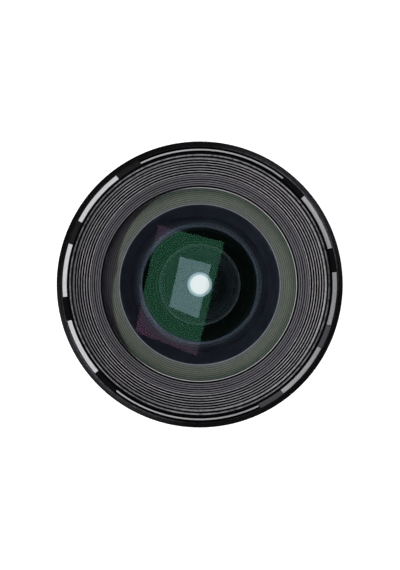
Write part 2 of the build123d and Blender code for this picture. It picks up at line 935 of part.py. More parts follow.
# Iris ring with its gear band. The iris link is screwed into its bore.

with BuildPart() as iris_ring:
    revolve(
        outline(
            (core_radius + running, iris_ring_start),
            (iris_ring_radius, iris_ring_start),
            (iris_ring_radius, iris_ring_end),
            (core_radius + running, iris_ring_end),
        ),
        axis=Axis.Z,
    )
    with BuildSketch(radial_plane(link_angle, link_height)):
        Circle(link_radius + fit)
    extrude(amount=core_radius + link_hole_depth, mode=Mode.SUBTRACT)
iris_ring.part.label = "iris_ring"
export_step(iris_ring.part, "parts/iris_ring.step")

with BuildPart() as iris_gear:
    iris_teeth = gear_outline(iris_gear_teeth).moved(Location((0, 0, iris_ring_start + iris_gear_start)))
    extrude(iris_teeth, amount=iris_gear_width)
    with BuildSketch(Plane.XY.offset(iris_ring_start + iris_gear_start)):
        Circle(iris_ring_radius + fit)
    extrude(amount=iris_gear_width, mode=Mode.SUBTRACT)
iris_gear.part.label = "iris_gear"
export_step(iris_gear.part, "parts/iris_gear.step")

# Iris base: a plate with a hole for each blade pivot, a sleeve that carries the actuator, and a rim

blade_step = 360 / blade_count
floor_face = iris_floor + iris_plate
sleeve_top = iris_floor + actuator_height - face_gap

with BuildPart() as iris_base:
    revolve(
        outline(
            (actuator_bore, iris_floor),
            (core_bore - fit, iris_floor),
            (core_bore - fit, iris_floor + cover_height),
            (core_bore - fit - iris_rim, iris_floor + cover_height),
            (core_bore - fit - iris_rim, floor_face),
            (sleeve_outer, floor_face),
            (sleeve_outer, sleeve_top),
            (sleeve_inner, sleeve_top),
            (sleeve_inner, floor_face),
            (actuator_bore, floor_face),
        ),
        axis=Axis.Z,
    )
    with BuildSketch(Plane.XY.offset(iris_floor)):
        with PolarLocations(blade_pivot_radius, blade_count):
            Circle(pin_radius + pin_clearance)
    extrude(amount=iris_plate, mode=Mode.SUBTRACT)
    rim_slot = sector(
        core_bore - 2 * iris_rim,
        core_radius,
        link_angle - link_margin,
        link_angle + iris_angle + link_margin,
    )
    extrude(
        rim_slot.moved(Location((0, 0, link_slot_start))),
        amount=cover_height,
        mode=Mode.SUBTRACT,
    )
iris_base.part.label = "iris_base"
export_step(iris_base.part, "parts/iris_base.step")

# Iris actuator: a slotted ring that turns on the sleeve and swings every blade at once


def blade_drive_point(turn):
    """Place of the drive pin of the blade at angle 0, once the blade has swung by this angle."""
    arm_x = heel_radius * cos(radians(heel_angle)) - blade_pivot_radius
    arm_y = heel_radius * sin(radians(heel_angle))
    swing = radians(turn)
    return (
        blade_pivot_radius + arm_x * cos(swing) - arm_y * sin(swing),
        arm_x * sin(swing) + arm_y * cos(swing),
    )


def slot_point(share):
    """Place of that pin in the actuator, at a share of the whole travel."""
    x, y = blade_drive_point(share * blade_angle)
    back = radians(-share * iris_angle)
    return (x * cos(back) - y * sin(back), x * sin(back) + y * cos(back))


actuator_start = iris_floor + actuator_height
actuator_end = actuator_start + actuator_thickness
rim_inner = sleeve_outer + running
rim_outer = rim_inner + actuator_rim

with BuildPart() as iris_actuator:
    revolve(
        outline(
            (actuator_bore, actuator_start),
            (rim_inner, actuator_start),
            (rim_inner, actuator_start - actuator_skirt),
            (rim_outer, actuator_start - actuator_skirt),
            (rim_outer, actuator_end),
            (actuator_bore, actuator_end),
        ),
        axis=Axis.Z,
    )
    with BuildSketch(Plane.XY.offset(actuator_start)):
        with PolarLocations(0, blade_count):
            with BuildLine():
                pin_path = ThreePointArc(slot_point(0), slot_point(0.5), slot_point(1))
            SlotArc(pin_path, 2 * (pin_radius + pin_clearance))
    extrude(amount=actuator_thickness, mode=Mode.SUBTRACT)
    with BuildSketch(radial_plane(link_angle, link_height)):
        Circle(link_radius + fit)
    extrude(amount=rim_outer, mode=Mode.SUBTRACT)
iris_actuator.part.label = "iris_actuator"
export_step(iris_actuator.part, "parts/iris_actuator.step")

# Iris link: a radial post from the actuator through the core tube into the iris ring

with BuildPart() as iris_link:
    with BuildSketch(radial_plane(link_angle, link_height)):
        Circle(link_radius)
    extrude(amount=core_radius + link_hole_depth)
    with BuildSketch():
        Circle(rim_inner)
    extrude(amount=core_end, mode=Mode.SUBTRACT)
iris_link.part.label = "iris_link"
export_step(iris_link.part, "parts/iris_link.step")

# Iris blades: thin flat crescents with a pivot pin below and a drive pin on a heel. Each blade lies a little
# tilted, tip high and heel low, so that it passes over the next one.

pivot_height = iris_floor + blade_height
tip_direction = 90 + blade_span_angle / 2
tip_reach = 2 * blade_pivot_radius * sin(radians(blade_span_angle / 2))
blade_tilt = degrees(atan2(blade_rise, tip_reach))
heel_x, heel_y = blade_drive_point(0)
heel_length = hypot(heel_x - blade_pivot_radius, heel_y)
heel_direction = degrees(atan2(heel_y, heel_x - blade_pivot_radius))
heel_drop = heel_length * cos(radians(heel_direction - tip_direction)) * tan(radians(blade_tilt))
blade_plane = Plane(
    origin=(blade_pivot_radius, 0, pivot_height),
    x_dir=(*at(cos(radians(blade_tilt)), tip_direction), sin(radians(blade_tilt))),
    z_dir=(*at(-sin(radians(blade_tilt)), tip_direction), cos(radians(blade_tilt))),
)

with BuildPart() as blade:
    with BuildSketch(Plane.XY.offset(iris_floor)):
        Circle(blade_outer)
        Circle(iris_open_radius, mode=Mode.SUBTRACT)
        far = 4 * blade_outer
        Polygon(
            (0, 0),
            (far, 0),
            at(far, blade_span_angle / 2),
            at(far, blade_span_angle),
            align=None,
            mode=Mode.INTERSECT,
        )
        with Locations((blade_pivot_radius, 0)):
            Circle(blade_end)
        with Locations(((heel_x + blade_pivot_radius) / 2, heel_y / 2)):
            SlotCenterToCenter(heel_length, heel_width, rotation=heel_direction)
    extrude(amount=2 * actuator_height)
    with BuildSketch(blade_plane):
        Rectangle(far, far)
    extrude(amount=blade_thickness / 2, both=True, mode=Mode.INTERSECT)
    pin_bottom = iris_floor + face_gap
    with Locations((blade_pivot_radius, 0, pin_bottom)):
        Cylinder(pin_radius, pivot_height - pin_bottom, align=(Align.CENTER, Align.CENTER, Align.MIN))
    drive_height = pivot_height + heel_drop
    with Locations((heel_x, heel_y, drive_height)):
        Cylinder(
            pin_radius,
            actuator_end - face_gap - drive_height,
            align=(Align.CENTER, Align.CENTER, Align.MIN),
        )

for number in range(blade_count):
    with BuildPart() as iris_blade:
        add(blade.part.rotate(Axis.Z, number * blade_step))
    iris_blade.part.label = f"iris_blade_{number + 1}"
    export_step(iris_blade.part, f"parts/iris_blade_{number + 1}.step")

# Iris cover: keeps the actuator down and hides the mechanism

with BuildPart() as iris_cover:
    with BuildSketch(Plane.XY.offset(iris_floor + cover_height)):
        Circle(core_bore - fit)
        Circle(actuator_bore, mode=Mode.SUBTRACT)
    extrude(amount=cover_thickness)
iris_cover.part.label = "iris_cover"
export_step(iris_cover.part, "parts/iris_cover.step")

# Rear cell and its glass: a cemented pair in front, two single elements behind

seventh_edge, ninth_edge = seventh_element_form[3], ninth_element_form[3]
seventh_top = front_face(seventh_vertex, seventh_element_form, seventh_edge)
rear_lip = seventh_edge - rear_lip_width
rear_lip_top = rear_face(eighth_vertex, eighth_element_form, rear_lip)
rear_lip_end = front_face(ninth_vertex, ninth_element_form, rear_lip)
rear_spacer_inner = ninth_edge - fit - spacer_wall
rear_clamp_inner = ninth_edge - 2 * spacer_wall
rear_clamp_top = rear_face(tenth_vertex, tenth_element_form, rear_clamp_inner)
rear_cell_end = rear_clamp_top - 2 * clamp_thickness
rear_cell_radius = ninth_edge + cell_wall

with BuildPart() as rear_cell:
    revolve(
        outline(
            (rear_lip, rear_lip_end),
            (ninth_edge + fit, rear_lip_end),
            (ninth_edge + fit, rear_cell_end),
            (rear_cell_radius, rear_cell_end),
            (rear_cell_radius, eighth_vertex - focus_web),
            (core_rear_bore - fit, eighth_vertex - focus_web),
            (core_rear_bore - fit, eighth_vertex),
            (rear_cell_radius, eighth_vertex),
            (rear_cell_radius, seventh_top),
            (seventh_edge + fit, seventh_top),
            (seventh_edge + fit, rear_lip_top),
            (rear_lip, rear_lip_top),
        ),
        axis=Axis.Z,
    )
rear_cell.part.label = "rear_cell"
export_step(rear_cell.part, "parts/rear_cell.step")

with BuildPart() as seventh_element:
    revolve(glass(seventh_vertex, seventh_element_form), axis=Axis.Z)
seventh_element.part.label = "seventh_element"
export_step(seventh_element.part, "parts/seventh_element.step")

with BuildPart() as eighth_element:
    revolve(glass(eighth_vertex, eighth_element_form), axis=Axis.Z)
eighth_element.part.label = "eighth_element"
export_step(eighth_element.part, "parts/eighth_element.step")

with BuildPart() as ninth_element:
    revolve(glass(ninth_vertex, ninth_element_form), axis=Axis.Z)
ninth_element.part.label = "ninth_element"
export_step(ninth_element.part, "parts/ninth_element.step")

with BuildPart() as rear_element:
    revolve(glass(tenth_vertex, tenth_element_form), axis=Axis.Z)
rear_element.part.label = "rear_element"
export_step(rear_element.part, "parts/rear_element.step")

with BuildPart() as rear_spacer:
    revolve(
        outline(
            (rear_spacer_inner, front_face(tenth_vertex, tenth_element_form, rear_spacer_inner)),
            (ninth_edge - fit, front_face(tenth_vertex, tenth_element_form, rear_spacer_inner)),
            (ninth_edge - fit, rear_face(ninth_vertex, ninth_element_form, rear_spacer_inner)),
            (rear_spacer_inner, rear_face(ninth_vertex, ninth_element_form, rear_spacer_inner)),
        ),
        axis=Axis.Z,
    )
rear_spacer.part.label = "rear_spacer"
export_step(rear_spacer.part, "parts/rear_spacer.step")

with BuildPart() as rear_clamp_ring:
    revolve(
        outline(
            (rear_clamp_inner, rear_cell_end),
            (ninth_edge, rear_cell_end),
            (ninth_edge, rear_clamp_top),
            (rear_clamp_inner, rear_clamp_top),
        ),
        axis=Axis.Z,
    )
rear_clamp_ring.part.label = "rear_clamp_ring"
export_step(rear_clamp_ring.part, "parts/rear_clamp_ring.step")
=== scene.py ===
# Looks of a wide-angle cine prime lens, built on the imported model. The optical axis is Z, the front faces
# up, and the lens stands on its rear guard. Sizes are in millimetres and angles in degrees unless a comment
# says otherwise, and Blender gets metres.

from math import asin, copysign, cos, degrees, pi, radians, sin, sqrt, tan

import bmesh
import bpy
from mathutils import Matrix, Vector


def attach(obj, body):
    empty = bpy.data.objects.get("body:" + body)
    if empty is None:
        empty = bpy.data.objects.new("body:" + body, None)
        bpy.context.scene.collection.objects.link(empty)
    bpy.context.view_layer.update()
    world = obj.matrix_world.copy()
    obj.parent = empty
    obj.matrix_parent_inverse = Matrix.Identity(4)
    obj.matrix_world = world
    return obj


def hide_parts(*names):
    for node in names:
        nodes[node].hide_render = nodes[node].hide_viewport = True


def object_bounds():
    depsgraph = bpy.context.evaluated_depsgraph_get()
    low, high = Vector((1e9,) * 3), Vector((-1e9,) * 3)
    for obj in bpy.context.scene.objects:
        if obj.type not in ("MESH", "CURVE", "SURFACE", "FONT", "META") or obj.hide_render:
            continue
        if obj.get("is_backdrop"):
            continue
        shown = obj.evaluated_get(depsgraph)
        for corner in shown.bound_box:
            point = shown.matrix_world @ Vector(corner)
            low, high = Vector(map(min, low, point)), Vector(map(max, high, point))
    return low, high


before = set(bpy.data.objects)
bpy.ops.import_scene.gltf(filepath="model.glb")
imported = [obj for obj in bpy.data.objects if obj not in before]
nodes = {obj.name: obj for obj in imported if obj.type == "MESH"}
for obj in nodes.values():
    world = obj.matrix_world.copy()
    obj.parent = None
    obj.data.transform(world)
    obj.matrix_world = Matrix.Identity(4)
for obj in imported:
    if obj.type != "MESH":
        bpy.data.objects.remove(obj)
cad_low, cad_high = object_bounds()

# Table and surround: a white table under the lens and white walls round it. The camera, the glass and the
# metal see them as white, while they give the lens only a weak fill. The table keeps the shadow of the
# lens.

scene = bpy.context.scene


def linear(code):
    """An sRGB hex colour as linear red, green, blue and alpha."""
    parts = [int(code[i : i + 2], 16) / 255 for i in (1, 3, 5)]
    return (*[c / 12.92 if c <= 0.04045 else ((c + 0.055) / 1.055) ** 2.4 for c in parts], 1.0)


def add(tree, kind, inputs=None, **settings):
    """Adds a node with its settings. An input that is a socket is linked, any other value is set."""
    made = tree.nodes.new(kind)
    for name, value in settings.items():
        setattr(made, name, value)
    for name, value in (inputs or {}).items():
        if isinstance(value, bpy.types.NodeSocket):
            tree.links.new(value, made.inputs[name])
        else:
            made.inputs[name].default_value = value
    return made


def bare_material(name):
    """A material with nothing in it yet, and its tree of nodes."""
    made = bpy.data.materials.new(name)
    made.use_nodes = True
    made.node_tree.nodes.clear()
    return made, made.node_tree


def seen_directly(tree):
    """1 for the camera and for what metal and glass show, 0 for the light that falls on the lens."""
    path = add(tree, "ShaderNodeLightPath")
    rays = {0: path.outputs["Is Camera Ray"], 1: path.outputs["Is Glossy Ray"]}
    either = add(tree, "ShaderNodeMath", rays, operation="MAXIMUM")
    rays = {0: either.outputs[0], 1: path.outputs["Is Transmission Ray"]}
    return add(tree, "ShaderNodeMath", rays, operation="MAXIMUM").outputs[0]


def studio_sheet(name, corners, material):
    """A flat sheet of the studio, with its corners in metres."""
    mesh = bpy.data.meshes.new(name)
    mesh.from_pydata(corners, [], [tuple(range(len(corners)))])
    mesh.materials.append(material)
    made = bpy.data.objects.new(name, mesh)
    scene.collection.objects.link(made)
    made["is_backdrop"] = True
    return made


# Pale grey paint, rolled on a table that reaches 4 m each way. It takes shadows, and a glow for what is
# seen directly lifts it to white.
table_reach = 4.0
table_glow = 0.85
table_white, tree = bare_material("table_white")
paint = add(tree, "ShaderNodeBsdfDiffuse", {"Color": linear("#d9d9d9")})
glow = add(tree, "ShaderNodeEmission", {"Color": linear("#ffffff"), "Strength": table_glow})
lit = add(tree, "ShaderNodeAddShader", {0: paint.outputs[0], 1: glow.outputs[0]})
shown = {"Fac": seen_directly(tree), 1: paint.outputs[0], 2: lit.outputs[0]}
both = add(tree, "ShaderNodeMixShader", shown)
side = add(tree, "ShaderNodeNewGeometry").outputs["Backfacing"]
clear = add(tree, "ShaderNodeBsdfTransparent")
top = add(tree, "ShaderNodeMixShader", {"Fac": side, 1: both.outputs[0], 2: clear.outputs[0]})
add(tree, "ShaderNodeOutputMaterial", {"Surface": top.outputs[0]})
ways = ((-1, -1), (1, -1), (1, 1), (-1, 1))
corners = [(x * table_reach, y * table_reach, cad_low.z) for x, y in ways]
studio_sheet("table", corners, table_white)

# Straight down and sideways the walls are white, and overhead they darken, as the ceiling of a studio does.
wall_top, ceiling_start = 0.5, 0.7
ceiling_level = 0.03
fill_level = 0.25
surround = bpy.data.worlds.new("surround")
surround.use_nodes = True
tree = surround.node_tree
tree.nodes.clear()
way = add(tree, "ShaderNodeTexCoord")
height = add(tree, "ShaderNodeSeparateXYZ", {"Vector": way.outputs["Generated"]})
climb = {"Value": height.outputs["Z"], "From Min": wall_top, "From Max": ceiling_start}
wall = add(tree, "ShaderNodeMapRange", {**climb, "To Min": 1.0, "To Max": ceiling_level})
level = add(tree, "ShaderNodeMapRange", {"Value": seen_directly(tree), "To Min": fill_level, "To Max": 1.0})
shown = add(tree, "ShaderNodeMath", {0: wall.outputs[0], 1: level.outputs[0]}, operation="MULTIPLY")
path = add(tree, "ShaderNodeLightPath")
rays = {0: shown.outputs[0], 1: path.outputs["Is Camera Ray"]}
bright = add(tree, "ShaderNodeMath", rays, operation="MAXIMUM")
air = add(tree, "ShaderNodeBackground", {"Color": linear("#ffffff"), "Strength": bright.outputs[0]})
add(tree, "ShaderNodeOutputWorld", {"Surface": air.outputs[0]})
scene.world = surround
scene.view_settings.view_transform = "Standard"

# Soft panel: one large lamp with a white cloth front, overhead and to the left. Its outline is traced back
# from its reflection in the front glass, where its sides look straight: the corners are those of the
# reflection. The panel's height over the lens is in metres.

panel_height = 1.6
mirror_radius = 70.0
camera_reach = 911.5
reflected_corners = [(-14.1, 20.1), (8.3, 14.4), (-1.0, -24.2), (-21.9, -15.9)]
points_per_side = 10
panel_level = 3.6
panel_level_in_glass = 1.3
panel_outline = []
for corner, after in zip(reflected_corners, reflected_corners[1:] + reflected_corners[:1]):
    for step in range(points_per_side):
        share = step / points_per_side
        across, up = (start + (end - start) * share for start, end in zip(corner, after))
        out = sqrt(across**2 + up**2)
        reach = out / 1000 + tan(2 * asin(out / mirror_radius) + out / camera_reach) * panel_height
        panel_outline.append((across / out * reach, up / out * reach, cad_high.z + panel_height))

# The cloth glows evenly to the front and is dark behind. Its mirror image in coated glass is dimmer than
# its light.
panel_cloth, tree = bare_material("panel_cloth")
path = add(tree, "ShaderNodeLightPath")
levels = {"To Min": panel_level, "To Max": panel_level_in_glass}
shown = add(tree, "ShaderNodeMapRange", {"Value": path.outputs["Is Glossy Ray"], **levels})
glow = add(tree, "ShaderNodeEmission", {"Color": linear("#ffffff"), "Strength": shown.outputs[0]})
dark = add(tree, "ShaderNodeEmission", {"Color": linear("#000000")})
side = add(tree, "ShaderNodeNewGeometry").outputs["Backfacing"]
cloth = add(tree, "ShaderNodeMixShader", {"Fac": side, 1: glow.outputs[0], 2: dark.outputs[0]})
add(tree, "ShaderNodeOutputMaterial", {"Surface": cloth.outputs[0]})
panel = studio_sheet("panel", panel_outline, panel_cloth)
panel.visible_camera = False

# Camera: straight above the front, as the photograph was taken. The picture is 400 by 570 pixels, and a
# pixel is a third of a millimetre at the front ring. The distances here are in metres.

pixel = 0.001 / 3.018
picture_wide, picture_high = 400, 570
camera_distance = 0.9
sensor_size = 36.0
centre_pixel = (199.7, 284.5)
aside = (picture_wide / 2 - centre_pixel[0]) * pixel
above = (centre_pixel[1] - picture_high / 2) * pixel
camera = bpy.data.cameras.new("camera")
camera.sensor_width = sensor_size
camera.lens = sensor_size * camera_distance / (picture_high * pixel)
camera_object = bpy.data.objects.new("camera", camera)
camera_object.location = (aside, above, cad_high.z + camera_distance)
scene.collection.objects.link(camera_object)
scene.camera = camera_object

# Mount flange and shims: the flange is turned from stainless steel and screwed to the rear barrel. The
# shims under it are punched from rolled sheet and set the distance from the glass to the sensor.


def on_the_lathe(tree):
    """Radius, angle and height of a point of a turned part, in metres and radians."""
    where = add(tree, "ShaderNodeTexCoord")
    parts = add(tree, "ShaderNodeSeparateXYZ", {"Vector": where.outputs["Object"]})
    flat = add(tree, "ShaderNodeCombineXYZ", {"X": parts.outputs["X"], "Y": parts.outputs["Y"]})
    radius = add(tree, "ShaderNodeVectorMath", {0: flat.outputs[0]}, operation="LENGTH")
    angle = add(tree, "ShaderNodeMath", {0: parts.outputs["Y"], 1: parts.outputs["X"]}, operation="ARCTAN2")
    return radius.outputs["Value"], angle.outputs[0], parts.outputs["Z"]


def tool_marks(tree, pitch):
    """Lines round the axis at about this pitch, from 0 to 1, and each fades along its length. Real feed
    marks are 0.05 to 0.1 mm apart, which is too fine to show, so most finishes draw them at 0.3 mm or
    more."""
    fades_per_radian = 1.5
    radius, angle, height = on_the_lathe(tree)
    across = add(tree, "ShaderNodeMath", {0: radius, 1: 1000 / pitch}, operation="MULTIPLY")
    along = add(tree, "ShaderNodeMath", {0: height, 1: 1000 / pitch}, operation="MULTIPLY")
    turn = add(tree, "ShaderNodeMath", {0: angle, 1: fades_per_radian}, operation="MULTIPLY")
    parts = {"X": across.outputs[0], "Y": along.outputs[0], "Z": turn.outputs[0]}
    place = add(tree, "ShaderNodeCombineXYZ", parts)
    noise = {"Vector": place.outputs[0], "Scale": 1.0, "Detail": 2.0}
    return add(tree, "ShaderNodeTexNoise", noise).outputs[0]


def rings_of_colour(tree, rings):
    """Colours that change with the distance from the axis, from (radius, colour) pairs."""
    near, far = rings[0][0], rings[-1][0]
    radius = on_the_lathe(tree)[0]
    span = {"Value": radius, "From Min": near / 1000, "From Max": far / 1000}
    place = add(tree, "ShaderNodeMapRange", span)
    made = add(tree, "ShaderNodeValToRGB", {"Fac": place.outputs[0]})
    band = made.color_ramp
    while len(band.elements) < len(rings):
        band.elements.new(0.5)
    for element, (ring, colour) in zip(band.elements, rings):
        element.position = (ring - near) / (far - near)
        element.color = linear(colour)
    return made.outputs["Color"]


def turned(name, light, dark, metal, roughness, pitch, depth, shine=0.5, streaks=0.0, rings=None):
    """A turned finish with tool marks of this pitch and depth. Its colour lies between the light one, or
    the rings of colour, and the dark one, from mark to mark and in patches of about 1 mm on a ring of 95 mm.
    Streaks stretch the light along the marks."""
    patches_across = 90.0
    varies = 0.15
    made, tree = bare_material(name)
    marks = tool_marks(tree, pitch)
    patches = add(tree, "ShaderNodeTexNoise", {"Scale": patches_across, "Detail": 3.0})
    shade = add(tree, "ShaderNodeMath", {0: marks, 1: patches.outputs[0]}, operation="MULTIPLY")
    span = add(tree, "ShaderNodeMapRange", {"Value": shade.outputs[0], "From Min": 0.1, "From Max": 0.4})
    best = rings_of_colour(tree, rings) if rings else linear(light)
    tones = {"Factor": span.outputs[0], "A": linear(dark), "B": best}
    tone = add(tree, "ShaderNodeMix", tones, data_type="RGBA")
    spread = {"To Min": roughness * (1 - varies), "To Max": roughness * (1 + varies)}
    rough = add(tree, "ShaderNodeMapRange", {"Value": marks, "From Min": 0.3, "From Max": 0.7, **spread})
    relief = add(tree, "ShaderNodeBump", {"Height": marks, "Distance": depth / 1000, "Strength": 1.0})
    skin = {
        "Base Color": tone.outputs["Result"],
        "Metallic": metal,
        "Roughness": rough.outputs[0],
        "Normal": relief.outputs[0],
        "Anisotropic": streaks,
        "Specular IOR Level": shine,
    }
    if streaks:
        skin["Tangent"] = add(tree, "ShaderNodeTangent", direction_type="RADIAL", axis="Z").outputs[0]
    body = add(tree, "ShaderNodeBsdfPrincipled", skin)
    add(tree, "ShaderNodeOutputMaterial", {"Surface": body.outputs[0]})
    return made


def dress(material, *names):
    """Gives CAD nodes this material."""
    for name in names:
        mesh = nodes[name].data
        mesh.materials.clear()
        mesh.materials.append(material)


# Stainless steel, turned: a pale, slightly warm grey, with the light drawn out into streaks round the axis.
turned_steel = turned(
    "turned_stainless_steel",
    "#aeaba6",
    "#8f8d89",
    metal=1.0,
    roughness=0.26,
    pitch=0.4,
    depth=0.002,
    streaks=0.5,
)
dress(turned_steel, "mount_flange")

# Spring steel sheet, rolled: duller and a little yellower than the flange.
rolled_steel = turned(
    "rolled_steel_shim",
    "#b9b4a6",
    "#8f8b80",
    metal=1.0,
    roughness=0.34,
    pitch=0.6,
    depth=0.001,
)
dress(rolled_steel, "mount_shims")

# Mount screws: four socket screws of hardened steel, which hold the flange and the shims on the rear
# barrel. Their heads are ground flat and sunk into the flange, so that nothing stands over its seat.

# Hardened steel, ground: a darker and more even grey than the flange round it.
screw_steel = turned(
    "ground_screw_steel",
    "#9b9a98",
    "#6f6e6c",
    metal=1.0,
    roughness=0.3,
    pitch=0.3,
    depth=0.001,
)
dress(screw_steel, "mount_screws")

# Barrels and control rings: tubes of aluminium alloy, turned and then anodised. The barrels are fixed on
# the core tube, and the two rings turn on it.

# Anodised aluminium, dyed black: the oxide is a thin clear skin over black dye, so it has a soft satin
# shine, and the tool marks under it show as faint streaks.
anodised_dark, anodised_roughness, anodised_shine = "#121214", 0.3, 0.4
anodised_pitch, anodised_depth, anodised_streaks = 0.5, 0.003, 0.5
black_anodised = turned(
    "black_anodised_aluminium",
    anodised_dark,
    "#08080a",
    metal=0.0,
    roughness=anodised_roughness,
    pitch=anodised_pitch,
    depth=anodised_depth,
    shine=anodised_shine,
    streaks=anodised_streaks,
)
dress(black_anodised, "rear_barrel", "middle_barrel", "front_barrel", "focus_ring", "iris_ring")

# Inner tubes, cells and spacers: aluminium tubes and cups that hold the glass, the iris and the focus
# drive. They're blasted with glass beads before the dye, because nothing near the light path may shine.

# Anodised aluminium, bead blasted: a dead black with almost no shine.
dead_black = turned(
    "matt_black_anodised", "#0e0e10", "#060607", metal=0.0, roughness=0.6, pitch=0.6, depth=0.004, shine=0.2
)
dress(dead_black, "rear_guard", "core_tube", "cam_tube", "front_cell", "focus_cell", "rear_cell")
dress(dead_black, "rear_clamp_ring", "focus_clamp_ring", "focus_spacer", "rear_spacer")
dress(dead_black, "iris_base", "iris_cover", "iris_actuator")

# Gear bands: rings of teeth, hobbed from aluminium and pressed on the focus ring and the iris ring, where
# the gear of a follow focus or a lens motor meets them.

# Anodised aluminium, hobbed: the flanks of the teeth are a little greyer and duller than a turned face.
gear_black = turned(
    "hobbed_black_anodised",
    "#1b1b1d",
    "#0d0d0f",
    metal=0.0,
    roughness=0.42,
    pitch=0.8,
    depth=0.003,
    shine=0.35,
)
dress(gear_black, "focus_gear", "iris_gear")

# Front ring: turned from the same alloy and screwed on the front barrel. Highlights are painted into its
# colour:
# a bright line on the narrow land at the mouth of the filter thread, and a faint painted sheen on two sides
# of the raised lip.

# These rings of colour paint highlights: the bright land at the mouth of the thread, the grey lip and the
# outer chamfer.
painted_highlight_rings = (
    (42.5, "#060607"),
    (42.725, "#060607"),
    (42.775, "#8f8c92"),
    (43.2, "#8f8c92"),
    (43.275, "#070708"),
    (45.6, "#070708"),
    (45.75, "#38383b"),
    (46.1, "#2e2e31"),
    (46.3, "#1e1e20"),
    (46.8, "#1e1e20"),
    (47.15, "#1a1a1c"),
    (47.35, "#121214"),
    (47.45, "#1c1c1e"),
)
lip_start, lip_end, lip_blur = 45.3, 47.2, 0.2
highlight_side = 40
sheen_least, sheen_most = 0.4, 3.2
outer_side, side_blur = 47.44, 0.02

# Anodised aluminium, turned: nearly black with little shine to the front, so the painted highlight rings
# stand out.
front_black = turned(
    "front_ring_anodised",
    None,
    "#050506",
    metal=0.0,
    roughness=0.34,
    pitch=0.5,
    depth=0.002,
    shine=0.015,
    rings=painted_highlight_rings,
)
tree = front_black.node_tree
face = next(node for node in tree.nodes if node.type == "BSDF_PRINCIPLED")
radius, angle, _ = on_the_lathe(tree)
# The painted sheen on the lip stands for the highlight of a turned face. It comes and goes twice in a turn,
# and is strongest at 40 degrees and opposite.
twice = {0: angle, 1: 2.0, 2: radians(-2 * highlight_side)}
place = add(tree, "ShaderNodeMath", twice, operation="MULTIPLY_ADD")
swing = add(tree, "ShaderNodeMath", {0: place.outputs[0]}, operation="COSINE")
amount = {"Value": swing.outputs[0], "From Min": 0.0, "To Min": sheen_least, "To Max": sheen_most}
painted_sheen = add(tree, "ShaderNodeMapRange", amount)
rise = {"Value": radius, "From Min": lip_start / 1000, "From Max": (lip_start + lip_blur) / 1000}
fall = {"Value": radius, "From Min": lip_end / 1000, "From Max": (lip_end + lip_blur) / 1000}
from_inside = add(tree, "ShaderNodeMapRange", rise)
to_outside = add(tree, "ShaderNodeMapRange", {**fall, "To Min": 1.0, "To Max": 0.0})
on_lip = {0: to_outside.outputs[0], 1: from_inside.outputs[0]}
lip = add(tree, "ShaderNodeMath", on_lip, operation="MULTIPLY")
level = add(tree, "ShaderNodeMix", {"Factor": lip.outputs[0], "A": 1.0, "B": painted_sheen.outputs[0]})
plain = face.inputs["Base Color"].links[0].from_socket
highlighted = add(tree, "ShaderNodeVectorMath", {0: plain, "Scale": level.outputs[0]}, operation="SCALE")
tree.links.new(highlighted.outputs[0], face.inputs["Base Color"])

# The outer side of the ring keeps the satin skin of the barrels.
marks = tool_marks(tree, anodised_pitch)
relief = add(tree, "ShaderNodeBump", {"Height": marks, "Distance": anodised_depth / 1000, "Strength": 1.0})
satin = add(
    tree,
    "ShaderNodeBsdfPrincipled",
    {
        "Base Color": linear(anodised_dark),
        "Roughness": anodised_roughness,
        "Specular IOR Level": anodised_shine,
        "Anisotropic": anodised_streaks,
        "Tangent": add(tree, "ShaderNodeTangent", direction_type="RADIAL", axis="Z").outputs[0],
        "Normal": relief.outputs[0],
    },
)
edge = {"Value": radius, "From Min": outer_side / 1000, "From Max": (outer_side + side_blur) / 1000}
outside = add(tree, "ShaderNodeMapRange", edge)
sides = {"Fac": outside.outputs[0], 1: face.outputs[0], 2: satin.outputs[0]}
skin = add(tree, "ShaderNodeMixShader", sides)
drawn = next(node for node in tree.nodes if node.type == "OUTPUT_MATERIAL")
tree.links.new(skin.outputs[0], drawn.inputs["Surface"])
dress(front_black, "front_ring")

# Keepers: plates and strips of magnetic steel that a hood holds on to. They're ground on their faces, with
# a slight fall outwards, and pressed into the groove of the front ring.


def around(radius, turn, height):
    """A point at a radius and an angle in radians."""
    return radius * cos(turn), radius * sin(turn), height


def turned_sector(outline, start, end, points, faces):
    """Adds the outline, in (radius, height), swept from one angle to another in degrees."""
    steps = max(2, round(end - start))
    first = len(points)
    count = len(outline)
    for step in range(steps + 1):
        turn = radians(start + (end - start) * step / steps)
        points.extend(around(radius, turn, height) for radius, height in outline)
    for step in range(steps):
        one, two = first + step * count, first + (step + 1) * count
        for side in range(count):
            after = (side + 1) % count
            faces.append((one + side, two + side, two + after, one + after))
    faces.append(tuple(first + side for side in range(count)))
    faces.append(tuple(first + steps * count + side for side in reversed(range(count))))


def piece(name, points, faces, materials, body, replaced=(), sharp=35.0, looks=None):
    """A mesh that rides on a body and stands for the CAD nodes in replaced. Its points are in millimetres.
    Edges over the sharp angle stay sharp, and looks is the number of each face's material."""
    mesh = bpy.data.meshes.new(name)
    mesh.from_pydata([(x / 1000, y / 1000, z / 1000) for x, y, z in points], [], faces)
    if looks:
        mesh.polygons.foreach_set("material_index", looks)
    mesh.polygons.foreach_set("use_smooth", [True] * len(faces))
    mesh.set_sharp_from_angle(angle=radians(sharp))
    mesh.update()
    for material in materials:
        mesh.materials.append(material)
    made = bpy.data.objects.new(name, mesh)
    scene.collection.objects.link(made)
    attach(made, body)
    if replaced:
        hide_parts(*replaced)


def bevelled(inner, outer, low, high, fall, edge):
    """Outline of a bar with a top that falls outwards and has broken edges."""
    return [
        (inner, low),
        (outer, low),
        (outer, high - fall - edge),
        (outer - edge, high - fall),
        (inner + edge, high),
        (inner, high - edge),
    ]


